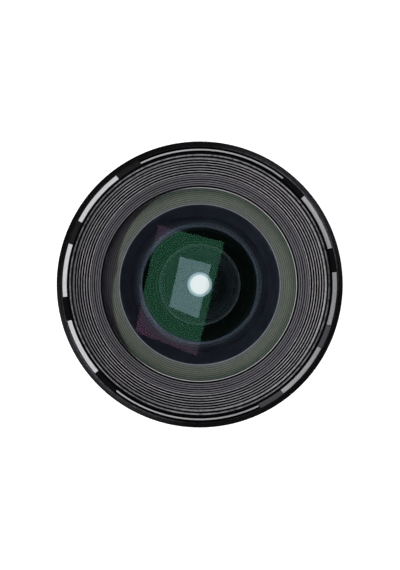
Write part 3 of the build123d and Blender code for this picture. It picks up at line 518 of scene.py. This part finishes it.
front_end = 112.0
groove_floor = front_end - 1.9
keeper_top = front_end - 0.1
keeper_turn = -6.1
middle_half, corner_half, strip_half = 11.3, 12.4, 32.0
corner_place = 34.0
plate_inner, plate_outer, plate_fall, plate_edge = 44.02, 45.54, 0.08, 0.07
strip_inner, strip_outer, strip_fall, strip_edge = 44.4, 45.0, 0.02, 0.06
plate_outline = bevelled(plate_inner, plate_outer, groove_floor, keeper_top, plate_fall, plate_edge)
strip_outline = bevelled(strip_inner, strip_outer, groove_floor, keeper_top, strip_fall, strip_edge)

# Magnetic steel, ground: a light neutral grey with a fine grain of 0.12 mm. The thin strips are a darker
# grey.
ground = {"metal": 1.0, "roughness": 0.3, "pitch": 0.12, "depth": 0.0006, "streaks": 0.4}
keeper_steel = turned("ground_keeper_steel", "#bebec0", "#a7a7aa", **ground)
strip_steel = turned("ground_strip_steel", "#a6a6a8", "#919194", **ground)
points, faces = [], []
for side in (0, 180):
    for place, half in ((-corner_place, corner_half), (0, middle_half), (corner_place, corner_half)):
        middle = side + place + keeper_turn
        turned_sector(plate_outline, middle - half, middle + half, points, faces)
piece("keeper_plates_ground", points, faces, [keeper_steel], "base", ["keeper_plates"])
points, faces = [], []
for side in (90, 270):
    middle = side + keeper_turn
    turned_sector(strip_outline, middle - strip_half, middle + strip_half, points, faces)
piece("keeper_strips_ground", points, faces, [strip_steel], "base", ["keeper_strips"])

# Spacer blocks: moulded plastic between the keepers, glued into the groove. Four are glossy, two satin
# and two a lighter grey.

block_top = front_end - 0.35
block_outer, block_edge = 45.68, 0.06
block_outline = bevelled(plate_inner, block_outer, groove_floor, block_top, 0.0, block_edge)

# Black plastic, moulded: deep black where it is glossy, dark grey on the satin blocks and a lighter grey on
# the grey ones.
gloss_block = turned(
    "glossy_black_plastic",
    "#080809",
    "#040405",
    metal=0.0,
    roughness=0.16,
    pitch=0.9,
    depth=0.0005,
    shine=0.03,
)
satin_block = turned(
    "satin_black_plastic",
    "#1a1a1c",
    "#101011",
    metal=0.0,
    roughness=0.45,
    pitch=0.6,
    depth=0.001,
    shine=0.06,
)
grey_block = turned(
    "greyed_black_plastic",
    "#4a4a4e",
    "#3c3c40",
    metal=0.0,
    roughness=0.5,
    pitch=0.6,
    depth=0.001,
    shine=0.1,
)
block_places = (
    ("spacer_blocks_glossy", gloss_block, ((5.5, 15.3), (40.6, 51.6), (185.5, 195.3), (220.6, 231.6))),
    ("spacer_blocks_satin", satin_block, ((116.2, 127.2), (152.6, 162.3))),
    ("spacer_blocks_grey", grey_block, ((296.2, 307.2), (332.6, 342.3))),
)
for name, material, places in block_places:
    points, faces = [], []
    for start, end in places:
        turned_sector(block_outline, start, end, points, faces)
    piece(name, points, faces, [material], "base", ["spacer_blocks"])

# Light baffle: a funnel of aluminium, turned with twelve ribs and screwed into the front ring. Each rib
# ends in a narrow land, and the grooves between them swallow stray light. The outer seven grooves are deep,
# the others shallow.


def turned_piece(name, outline, materials, body, replaced, segments=192, sharp=35.0):
    """A closed piece turned round the axis, from (radius, height, material number) points. The number
    belongs to the face that starts at the point. A point on the axis closes its end."""
    points, faces, looks, rings = [], [], [], []
    for radius, height, _ in outline:
        first = len(points)
        turns = segments if radius else 1
        points.extend(around(radius, 2 * pi * step / segments, height) for step in range(turns))
        rings.append([first + step % turns for step in range(segments)])
    pairs = list(zip(range(len(outline)), range(1, len(outline))))
    if outline[0][0]:
        pairs.append((len(outline) - 1, 0))
    for one, two in pairs:
        for step in range(segments):
            after = (step + 1) % segments
            corners = (rings[one][step], rings[two][step], rings[two][after], rings[one][after])
            faces.append(tuple(dict.fromkeys(corners)))
            looks.append(outline[one][2])
    piece(name, points, faces, materials, body, replaced, sharp, looks)


baffle_top, baffle_end = 106.0, 93.3
last_crest = baffle_end + 1.15
rib_radii = [41.78, 41.02, 40.22, 39.42, 38.62, 37.83, 36.98, 36.31, 35.65, 34.88, 34.2, 33.52]
rib_pitch = (baffle_top - last_crest) / (len(rib_radii) - 1)
deep_ribs = 7
wide_land, narrow_land = 0.26, 0.4
groove_depth, shallow_depth = 0.9, 0.2
undercut = 0.06
rim_radius, neck_radius = 43.0, 37.85
rim_end, neck_start = 103.0, 95.5
funnel = [(rim_radius, baffle_top, 0), (rim_radius, rim_end, 0), (neck_radius, neck_start, 0)]
funnel += [(neck_radius, baffle_end, 0), (rib_radii[-1], baffle_end, 0)]
for rib in reversed(range(len(rib_radii))):
    crest = baffle_top - rib * rib_pitch
    deep = rib < deep_ribs
    funnel.append((rib_radii[rib], crest, 1 if deep else 2))
    if rib:
        floor = crest - (groove_depth if deep else shallow_depth)
        funnel.append((rib_radii[rib] + (wide_land if deep else narrow_land), crest, 0))
        funnel.append((rib_radii[rib - 1] - undercut, floor, 0))
        funnel.append((rib_radii[rib - 1], floor, 0))

# Anodised aluminium, turned: black in the grooves. The lands are painted a pale brownish grey that stands for
# the light they catch, painted lighter on the outer ribs against the shade of the ring's mouth, and look like
# fine bright circles.
groove_black = turned(
    "groove_black_anodised",
    "#060607",
    "#030304",
    metal=0.0,
    roughness=0.5,
    pitch=0.3,
    depth=0.001,
    shine=0.03,
)
land_finish = {"metal": 0.0, "roughness": 0.42, "pitch": 0.3, "depth": 0.001, "shine": 0.1}
# Painted light: the lands get lighter towards the outside, where the mouth of the ring shades them.
land_light_rings = ((37.0, "#b4b2b7"), (39.8, "#bab8bd"), (41.76, "#bebcc1"))
outer_land = turned("painted_light_rib_land", None, "#757276", rings=land_light_rings, **land_finish)
inner_land = turned("painted_light_inner_rib_land", "#74727a", "#5f5d62", **land_finish)
baffle_finishes = [groove_black, outer_land, inner_land]
turned_piece(
    "light_baffle_ribs",
    funnel,
    baffle_finishes,
    "base",
    ["light_baffle"],
    segments=256,
)

# Front clamp ring: a thin aluminium ring, screwed down on the rim of the front element. The edge over the
# glass is broken with a fine cut that the anodising left bright.

clamp_outline = [
    (32.7, 92.46, 0),
    (32.7, 92.86, 1),
    (32.87, 92.896, 0),
    (33.0, 93.28, 0),
    (37.9, 93.28, 0),
    (37.9, 92.2, 0),
    (34.5, 92.2, 0),
    (33.3, 92.2, 0),
]

# Anodised aluminium, turned: as black as the grooves of the baffle. The cut edge is bare metal, a thin
# bright line.
clamp_black = turned(
    "clamp_black_anodised",
    "#060607",
    "#030304",
    metal=0.0,
    roughness=0.5,
    pitch=0.4,
    depth=0.001,
    shine=0.03,
)
bright_edge = turned(
    "broken_edge_aluminium", "#b0b0b2", "#9c9c9e", metal=1.0, roughness=0.14, pitch=0.4, depth=0.0002
)
clamp_finishes = [clamp_black, bright_edge]
turned_piece(
    "front_clamp_ring_edge",
    clamp_outline,
    clamp_finishes,
    "base",
    ["front_clamp_ring"],
    segments=256,
    sharp=20.0,
)

# Filter thread: cut round the mouth of the front ring at a pitch of 1 mm and anodised with it. The crests
# stand a little proud of the bore and run out at both ends.


def skirt(one, two, count):
    """Faces between two loops of points, given the number of each loop's first point."""
    afters = [(side + 1) % count for side in range(count)]
    return [(one + side, one + after, two + after, two + side) for side, after in enumerate(afters)]


thread_pitch, thread_low, thread_high = 1.0, 107.1, 110.7
thread_bore, thread_crest = 42.47, 42.27
thread_foot, crest_flat = 0.34, 0.08
steps_per_turn = 96
run_out_steps, run_out_rise = 24, 0.05
thread_steps = (thread_high - thread_low) / thread_pitch * steps_per_turn
points, faces = [], []
for step in range(round(thread_steps) + 1):
    turn = 2 * pi * step / steps_per_turn
    height = thread_low + thread_pitch * step / steps_per_turn
    fade = min(1.0, step / run_out_steps, (thread_steps - step) / run_out_steps)
    crest = thread_bore - (thread_bore - thread_crest) * max(fade, run_out_rise)
    points.append(around(thread_bore, turn, height - thread_foot))
    points.append(around(crest, turn, height - crest_flat))
    points.append(around(crest, turn, height + crest_flat))
    points.append(around(thread_bore, turn, height + thread_foot))
    if step:
        faces.extend(skirt(len(points) - 8, len(points) - 4, 4))
faces.append((0, 3, 2, 1))
faces.append(tuple(len(points) - 4 + side for side in range(4)))

# Anodised aluminium, cut by a thread tool: black, with a faint shine on the crests.
thread_black = turned(
    "cut_thread_anodised", "#0c0c0e", "#060607", metal=0.0, roughness=0.4, pitch=0.2, depth=0.001, shine=0.1
)
piece("filter_thread_form", points, faces, [thread_black], "base", sharp=20.0)

# Second clamp ring: an aluminium ring, screwed down on the second element. Its face is lacquered, and
# paler towards the inner edge.

# Blue-black lacquer, brushed on: dark slate outside, and a pale blue-grey line round the glass.
lacquer_rings = ((21.2, "#889db2"), (22.04, "#76899b"), (22.936, "#46525f"), (24.0, "#353e4a"))
blue_lacquer = turned(
    "blue_black_lacquer",
    None,
    "#1b212a",
    metal=0.0,
    roughness=0.5,
    pitch=0.4,
    depth=0.001,
    shine=0.1,
    rings=lacquer_rings,
)
dress(blue_lacquer, "second_clamp_ring")

# Scales: numbers and lines that a ball-nosed cutter sinks into the anodised rings, filled with enamel. They
# turn with their rings past index lines on the barrels, on both sides of the lens.

paint_proud = 0.05
type_size = 1.38
index_sides = (0, 180)
focus_radius, iris_radius, barrel_radius, front_barrel_radius = 42.5, 40.0, 41.5, 44.0


def wrapped(radius, proud, angle, across, height):
    """A point wrapped round a ring: across is measured along its face from an angle in degrees."""
    return around(radius + proud, radians(angle) + across / radius, height)


def number(words, tall, radius, angle, height, points, faces, lying=False):
    """Adds a number, wrapped round a ring. It reads with the front up, or turned by 90 degrees if lying. The
    type is 1.38 times as large as its digits are tall."""
    curve = bpy.data.curves.new("number", "FONT")
    curve.body = words
    curve.size = tall * type_size
    curve.align_x, curve.align_y = "CENTER", "CENTER"
    curve.resolution_u = 3
    curve.extrude = 0.5
    holder = bpy.data.objects.new("number", curve)
    flat = bpy.data.meshes.new_from_object(holder)
    weld = bmesh.new()
    weld.from_mesh(flat)
    bmesh.ops.remove_doubles(weld, verts=weld.verts, dist=0.0005)
    first = len(points)
    for corner in weld.verts:
        across, up = (corner.co.y, corner.co.x) if lying else (corner.co.x, corner.co.y)
        proud = paint_proud if corner.co.z > 0 else -paint_proud
        points.append(wrapped(radius, proud, angle, across, height + up))
    weld.verts.index_update()
    for face in weld.faces:
        order = [first + corner.index for corner in face.verts]
        faces.append(order[::-1] if lying else order)
    weld.free()
    bpy.data.objects.remove(holder)
    bpy.data.curves.remove(curve)
    bpy.data.meshes.remove(flat)


def line(wide, low, high, radius, angle, points, faces):
    """Adds an upright line on a ring."""
    half = degrees(wide / 2 / radius)
    inner, outer = radius - paint_proud, radius + paint_proud
    outline = [(inner, low), (outer, low), (outer, high), (inner, high)]
    turned_sector(outline, angle - half, angle + half, points, faces)


# Enamel, filled in and wiped flush: a hard dull paint, a little uneven. White is for metres and stops,
# amber for feet.
wiped = {"metal": 0.0, "roughness": 0.5, "pitch": 0.9, "depth": 0.001, "shine": 0.4}
white_enamel = turned("white_filled_enamel", "#e6e6e0", "#c9c9c2", **wiped)
amber_enamel = turned("amber_filled_enamel", "#e0a040", "#bf8530", **wiped)

# The focus ring turns by 180 degrees from infinity, a lying 8, to the closest distance. In between its turn
# goes by the inverse of the distance. The two end numbers share a tick with the other side's scale and
# stand beside it.
closest = 0.3
focus_turn, tick_turn = 180.0, 4.0
metres_line, fine_line = (0.3, 50.75, 52.6), (0.14, 50.75, 51.6)
metres_tall, metres_height = 4.0, 55.6
metres = (
    ("8", 0),
    ("3", 3.0),
    ("1.5", 1.5),
    ("1", 1.0),
    ("0.8", 0.8),
    ("0.6", 0.6),
    ("0.5", 0.5),
    ("0.4", 0.4),
    ("0.3", 0.3),
)
beside = {"8": -3.2, "0.3": 5.0}
points, faces = [], []
for side in index_sides:
    for words, distance in metres:
        turn = side - (focus_turn * closest / distance if distance else 0.0)
        if distance:
            line(*metres_line, focus_radius, turn, points, faces)
        turn += beside.get(words, 0.0)
        number(words, metres_tall, focus_radius, turn, metres_height, points, faces, lying=not distance)
    for tick in range(1, round(focus_turn / tick_turn)):
        line(*fine_line, focus_radius, side - tick_turn * tick, points, faces)
piece("focus_scale_metres", points, faces, [white_enamel], "focus_ring", sharp=20.0)

feet_line = (0.3, 81.6, 83.4)
feet_tall, feet_height = 3.0, 79.9
feet = (
    ("10", 3.048),
    ("5", 1.524),
    ("3", 0.914),
    ("2", 0.61),
    ("1.5", 0.457),
    ("1.2", 0.366),
    ("1", 0.305),
)
points, faces = [], []
for side in index_sides:
    for words, distance in feet:
        turn = side - focus_turn * closest / distance
        line(*feet_line, focus_radius, turn, points, faces)
        number(words, feet_tall, focus_radius, turn, feet_height, points, faces)
piece("focus_scale_feet", points, faces, [amber_enamel], "focus_ring", sharp=20.0)

# The stops stand evenly round the iris ring, from open to closed.
stops = ("1.5", "2", "2.8", "4", "5.6", "8", "11", "16", "22")
iris_turn = 75.0
stop_line = (0.26, 38.2, 39.5)
stop_tall, stop_height = 2.8, 36.0
points, faces = [], []
for side in index_sides:
    for place, words in enumerate(stops):
        turn = side - iris_turn * place / (len(stops) - 1)
        line(*stop_line, iris_radius, turn, points, faces)
        number(words, stop_tall, iris_radius, turn, stop_height, points, faces)
piece("iris_scale", points, faces, [white_enamel], "iris_ring", sharp=20.0)

index_wide = 0.4
index_places = ((46.6, 49.8, barrel_radius), (40.5, 43.4, barrel_radius), (84.5, 86.3, front_barrel_radius))
points, faces = [], []
for side in index_sides:
    for low, high, radius in index_places:
        line(index_wide, low, high, radius, side, points, faces)
piece("index_lines", points, faces, [white_enamel], "base", sharp=20.0)

# Set screws: hardened steel with hexagon sockets, three round the middle barrel and three round the rear
# barrel. They lock the barrels on their threads, and have the ground steel of the mount screws.

screw_rim, screw_socket = 1.1, 0.55
screw_proud, screw_sunk, screw_edge = 0.12, 0.06, 0.06
screw_shoulder = screw_proud - 0.04
screw_sides = 24
screws_around = 3
middle_screws = (barrel_radius, 60, 45.2)
rear_screws = (39.0, 0, 20.0)


def set_screw(radius, angle, height, points, faces):
    """Adds the face of a set screw with a hexagon socket, on a ring of this radius."""
    first = len(points)
    flat = screw_socket * cos(radians(30))
    loops = [(-screw_sunk, screw_rim), (screw_shoulder, screw_rim), (screw_proud, screw_rim - screw_edge)]
    loops += [(screw_proud, None), (-screw_sunk, None)]
    for proud, size in loops:
        for side in range(screw_sides):
            turn = 2 * pi * side / screw_sides
            corner = abs((degrees(turn) % 60) - 30)
            out = size or flat / cos(radians(corner))
            points.append(wrapped(radius, proud, angle, out * cos(turn), height + out * sin(turn)))
    for loop in range(len(loops)):
        after = (loop + 1) % len(loops)
        faces.extend(skirt(first + loop * screw_sides, first + after * screw_sides, screw_sides))


points, faces = [], []
for place in range(screws_around):
    for radius, start, height in (middle_screws, rear_screws):
        set_screw(radius, start + 360 / screws_around * place, height, points, faces)
piece("set_screws", points, faces, [screw_steel], "base", sharp=30.0)

# Iris blades: nine crescents, stamped from thin spring steel and blackened. Each swings on a pin in the
# base plate.

# Spring steel, blackened: a soft dark sheen. The tips next to the opening are painted paler, a painted glow
# of the light through the opening.
blade_glow_rings = ((8.3, "#a8b6b2"), (9.59, "#77837f"), (10.88, "#3c4442"), (12.6, "#1b1d1e"))
blade_black = turned(
    "blackened_spring_steel",
    None,
    "#222426",
    metal=0.3,
    roughness=0.42,
    pitch=0.5,
    depth=0.001,
    shine=0.3,
    rings=blade_glow_rings,
)
dress(blade_black, *[f"iris_blade_{blade}" for blade in range(1, 10)])

# Link, rollers and keys: the link post joins the iris ring to its actuator, the rollers guide the focus
# cell, and the keys carry the focus ring's turn to the cam tube. Posts and rollers are ground steel, as the
# screws are.

dress(screw_steel, "iris_link", "cam_rollers")

# Brass, turned: yellow and softly bright, because keys of brass slide in aluminium without seizing.
key_brass = turned("turned_brass", "#c9a25a", "#a5803c", metal=1.0, roughness=0.3, pitch=0.3, depth=0.001)
dress(key_brass, "drive_keys")

# Front element: a large meniscus of crown glass, ground to two spheres, polished and coated. Its rear bevel
# is turned with fine steps and carries a painted reflection of the ribs, and the front clamp ring holds it in
# its cell.

bevel_step, bevel_rise, bevel_lift = 0.7, 0.11, 0.04


def sag(radius, distance):
    """Drop of a spherical face at a distance from the axis."""
    return copysign(abs(radius) - sqrt(radius**2 - distance**2), radius)


def sphere_face(vertex, radius, near, far, look, rings=48):
    """Points of a spherical face between two distances from the axis."""
    places = [near + (far - near) * i / rings for i in range(rings)]
    return [(place, vertex - sag(radius, place), look) for place in places]


def lens_outline(vertex, front_radius, thickness, rear_radius, edge, rear_clear=None):
    """The closed outline of an element. Its front is 0, its rim 1, its rear 2 and its bevel 3. With
    rear_clear the rear has a bevel of fine steps outside that radius."""
    clear = rear_clear or edge
    bevel = vertex - thickness - sag(rear_radius, clear)
    outline = sphere_face(vertex, front_radius, 0, edge, 0)
    outline.append((edge, vertex - sag(front_radius, edge), 1))
    if rear_clear:
        start = clear + bevel_lift
        steps = round((edge - clear) / bevel_step)
        for step in reversed(range(steps)):
            inner = start + (edge - start) * step / steps
            outer = start + (edge - start) * (step + 1) / steps
            outline.append((outer, bevel + bevel_lift, 3))
            outline.append((inner, bevel + bevel_lift + bevel_rise, 1))
        outline.append((start, bevel + bevel_lift, 3))
    outline.append((clear, bevel, 2))
    rear = sphere_face(vertex - thickness, rear_radius, clear, 0, 2)[1:]
    return outline + rear + [(0.0, vertex - thickness, 2)]


def wiping_haze(tree):
    """Roughness of a polished face, with the faint smears that a lens cloth leaves."""
    haze = add(tree, "ShaderNodeTexNoise", {"Scale": 60.0, "Detail": 4.0})
    smears = {"Value": haze.outputs[0], "From Min": 0.55, "From Max": 0.8, "To Min": 0.0, "To Max": 0.004}
    return add(tree, "ShaderNodeMapRange", smears).outputs[0]


def coated_glass(name, coat, index):
    """Clear optical glass. The coat leaves a weak reflection in this colour, or in rings of colour."""
    made, tree = bare_material(name)
    face = {
        "Base Color": linear("#ffffff"),
        "Transmission Weight": 1.0,
        "Roughness": wiping_haze(tree),
        "IOR": index,
        "Specular Tint": linear(coat) if isinstance(coat, str) else rings_of_colour(tree, coat),
    }
    body = add(tree, "ShaderNodeBsdfPrincipled", face)
    add(tree, "ShaderNodeOutputMaterial", {"Surface": body.outputs[0]})
    return made


# Edge blacking, brushed on the ground rim: seen through the glass it is a dull slate blue.
edge_black = turned(
    "edge_blacking", "#556277", "#465161", metal=0.0, roughness=0.5, pitch=0.4, depth=0.001, shine=0.1
)

# Crown glass, polished, with a coat in several layers. It mirrors the panel in green, and in mauve towards
# its edge, where the light falls in at a slant. The low coat inside leaves almost nothing.
crown_index = 1.6
front_coat = coated_glass(
    "front_face_glass",
    ((18.8, "#6ed0a2"), (18.96, "#6ed0a2"), (19.2, "#96a9b8"), (22.0, "#a886a9"), (26.8, "#cb7ab3")),
    crown_index,
)
low_coat = coated_glass("low_coat_glass", "#36454d", crown_index)

# The turned bevel, seen through the front face, carries a painted reflection of the ribs: the slopes of the
# steps are olive and their walls a slate blue. A painted shade dims them in a crescent on one side, where
# the funnel of the baffle mirrors in them.
rib_reflection_rings = (
    (25.2, "#4e5a6c"),
    (25.384, "#5a6070"),
    (25.522, "#dedae8"),
    (25.706, "#dedae8"),
    (25.936, "#b8beb8"),
    (28.42, "#bcc2b4"),
    (29.8, "#a9b5a6"),
    (30.904, "#9cada2"),
)
# Painted shade for the crescent.
crescent_shade_rings = ((26.6, "#868189"), (29.6, "#746d78"), (31.6, "#4e4a51"))
# The painted shade of the crescent starts nearest to the axis at 170 degrees. From 1.13 radians to each
# side of that on, only a narrow ring at the rim is dim.
crescent_side, crescent_half = 170, 1.13
crescent_near, crescent_far = 26.6, 31.7
crescent_blur_in, crescent_blur_out = 0.2, 0.4
step_phase = -2.47
step_painted_shade, step_painted_light = 0.55, 1.3
bevel_painted_reflection, tree = bare_material("front_bevel_lacquer")
radius, angle, _ = on_the_lathe(tree)
haze = add(tree, "ShaderNodeTexNoise", {"Scale": 70.0, "Detail": 3.0})
patches = {"Value": haze.outputs[0], "From Min": 0.3, "From Max": 0.7, "To Min": 0.9, "To Max": 1.08}
patchy = add(tree, "ShaderNodeMapRange", patches)
# Painted shade and light on each step: darkest near its wall and lightest on its slope.
turns = add(tree, "ShaderNodeMath", {0: radius, 1: 2 * pi * 1000 / bevel_step}, operation="MULTIPLY")
late = add(tree, "ShaderNodeMath", {0: turns.outputs[0], 1: step_phase}, operation="ADD")
wave = add(tree, "ShaderNodeMath", {0: late.outputs[0]}, operation="SINE")
cuts = {"Value": wave.outputs[0], "From Min": -1.0, "To Min": step_painted_shade, "To Max": step_painted_light}
cut = add(tree, "ShaderNodeMapRange", cuts)
level = add(tree, "ShaderNodeMath", {0: cut.outputs[0], 1: patchy.outputs[0]}, operation="MULTIPLY")
away = add(tree, "ShaderNodeMath", {0: angle, 1: radians(-crescent_side)}, operation="ADD")
turned_away = add(tree, "ShaderNodeMath", {0: away.outputs[0]}, operation="COSINE")
gap = add(tree, "ShaderNodeMath", {0: turned_away.outputs[0]}, operation="ARCCOSINE")
widening = {"To Min": crescent_near / 1000, "To Max": crescent_far / 1000}
turned_by = {"Value": gap.outputs[0], "From Min": 0.0, "From Max": crescent_half}
reach = add(tree, "ShaderNodeMapRange", {**turned_by, **widening})
depth_in = add(tree, "ShaderNodeMath", {0: radius, 1: reach.outputs[0]}, operation="SUBTRACT")
blur = {"From Min": -crescent_blur_in / 1000, "From Max": crescent_blur_out / 1000}
in_painted_shade = add(tree, "ShaderNodeMapRange", {"Value": depth_in.outputs[0], **blur})
olive = {0: rings_of_colour(tree, rib_reflection_rings), "Scale": level.outputs[0]}
shaded = {0: rings_of_colour(tree, crescent_shade_rings), "Scale": level.outputs[0]}
lit = add(tree, "ShaderNodeVectorMath", olive, operation="SCALE")
dim = add(tree, "ShaderNodeVectorMath", shaded, operation="SCALE")
tones = {"Factor": in_painted_shade.outputs[0], "A": lit.outputs[0], "B": dim.outputs[0]}
tone = add(tree, "ShaderNodeMix", tones, data_type="RGBA")
skin = {"Base Color": tone.outputs["Result"], "Roughness": 0.45, "Specular IOR Level": 0.1}
body = add(tree, "ShaderNodeBsdfPrincipled", skin)
add(tree, "ShaderNodeOutputMaterial", {"Surface": body.outputs[0]})
turned_piece(
    "front_element_glass",
    lens_outline(
        vertex=100.5, front_radius=mirror_radius, thickness=4.0, rear_radius=31.0, edge=34.4, rear_clear=25.2
    ),
    [front_coat, edge_black, low_coat, bevel_painted_reflection],
    "base",
    ["front_element"],
)

# Second element: a smaller meniscus of dense flint, held by the second clamp ring. Its bevel is blackened
# and carries two fine lines of painted highlight.

# Dense flint glass, polished: it bends light strongly, and its simpler coat mirrors the panel in pale teal.
flint_index = 1.9
teal_coat = coated_glass("teal_coat_glass", "#c6efff", flint_index)

# Edge blacking on the bevel: deep black with a thin pale painted highlight at the clear edge and a faint one
# outside it.
rim_glint_rings = (
    (14.8, "#dbe6e2"),
    (14.9232, "#dbe6e2"),
    (15.0002, "#0d0e11"),
    (15.57, "#0d0e11"),
    (15.724, "#2c3438"),
    (16.032, "#2c3438"),
    (16.263, "#101114"),
    (22.5, "#101114"),
)
deep_black = turned(
    "second_edge_blacking",
    None,
    "#070709",
    metal=0.0,
    roughness=0.5,
    pitch=0.4,
    depth=0.001,
    shine=0.03,
    rings=rim_glint_rings,
)
turned_piece(
    "second_element_glass",
    lens_outline(vertex=86.2, front_radius=61.0, thickness=2.1, rear_radius=20.8, edge=22.5, rear_clear=14.8),
    [teal_coat, deep_black, low_coat, deep_black],
    "base",
    ["second_element"],
)

# Inner elements: the third, the cemented pair and the sixth slide with the focus cell, and a second
# cemented pair stands behind the iris. A pair is two elements joined by clear cement, so it looks like one
# piece of glass.

# Lanthanum glass, polished: denser than the crown glass of the others, with the same dark low coat.
lanthanum_index = 1.86
dense_glass = coated_glass("dense_glass", "#384c4e", lanthanum_index)
plain_faces = [low_coat, edge_black, low_coat]
dense_faces = [dense_glass, edge_black, dense_glass]
middle_pair = ["fourth_element", "fifth_element"]
rear_pair = ["seventh_element", "eighth_element"]
# Each form is the height of the front's middle, the front radius, the thickness, the rear radius and the
# radius of the rim.
inner_elements = (
    ("third_element_glass", (71.0, -26.1, 1.8, 72.5, 15.0), plain_faces, "focus_group", ["third_element"]),
    ("middle_pair_glass", (66.5, 31.1, 11.0, -208.4, 14.5), dense_faces, "focus_group", middle_pair),
    ("sixth_element_glass", (54.5, 53.8, 4.5, 87.4, 14.0), plain_faces, "focus_group", ["sixth_element"]),
    ("rear_pair_glass", (26.0, -28.4, 9.1, -33.2, 13.2), plain_faces, "base", rear_pair),
)
for name, form, glass_faces, body, replaced in inner_elements:
    turned_piece(name, lens_outline(*form), glass_faces, body, replaced)

# Rear elements: two weak lenses in the rear cell, which straighten the light for the sensor. The daylight
# behind the lens comes in through them and makes the bright disc in the middle of the front.


def thin_glass(name, tints):
    """Glass so weak that light passes straight through it, tinted in rings of colour. The index is the one at
    which a bare face mirrors as little as the coated one does."""
    coated_index = 1.2
    made, tree = bare_material(name)
    view = add(tree, "ShaderNodeFresnel", {"IOR": coated_index})
    violet = {"Color": linear("#c1a3ed"), "Roughness": wiping_haze(tree)}
    shine = add(tree, "ShaderNodeBsdfGlossy", violet)
    through = add(tree, "ShaderNodeBsdfTransparent", {"Color": rings_of_colour(tree, tints)})
    parts = {"Fac": view.outputs[0], 1: through.outputs[0], 2: shine.outputs[0]}
    face = add(tree, "ShaderNodeMixShader", parts)
    add(tree, "ShaderNodeOutputMaterial", {"Surface": face.outputs[0]})
    return made


# Crown glass, polished, with a violet coat: clear in the middle. On the last element a painted shade tints
# the light through it to a slate blue outside 7.6 mm, which gives the disc its soft pale halo.
disc_tints = ((7.0, "#fbfeff"), (10.0, "#f8fdff"))
painted_halo_tints = (
    (7.0, "#fffffe"),
    (7.6, "#f2f7f4"),
    (7.99, "#b3c3c9"),
    (9.4, "#93a7ae"),
    (10.0, "#7d929a"),
)
rear_glass = thin_glass("rear_glass", disc_tints)
rear_edge_glass = thin_glass("rear_edge_glass", painted_halo_tints)
rear_elements = (
    ("ninth_element_glass", (15.9, 297.7, 5.0, -47.4, 14.5), rear_glass, "ninth_element"),
    ("rear_element_glass", (9.5, 62.2, 4.0, -108.5, 14.5), rear_edge_glass, "rear_element"),
)
for name, form, front_glass, replaced in rear_elements:
    glass_faces = [front_glass, edge_black, rear_glass]
    turned_piece(name, lens_outline(*form), glass_faces, "base", [replaced])

# Sizes of the dressed model; those of the imported one are cad_low and cad_high.

low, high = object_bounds()
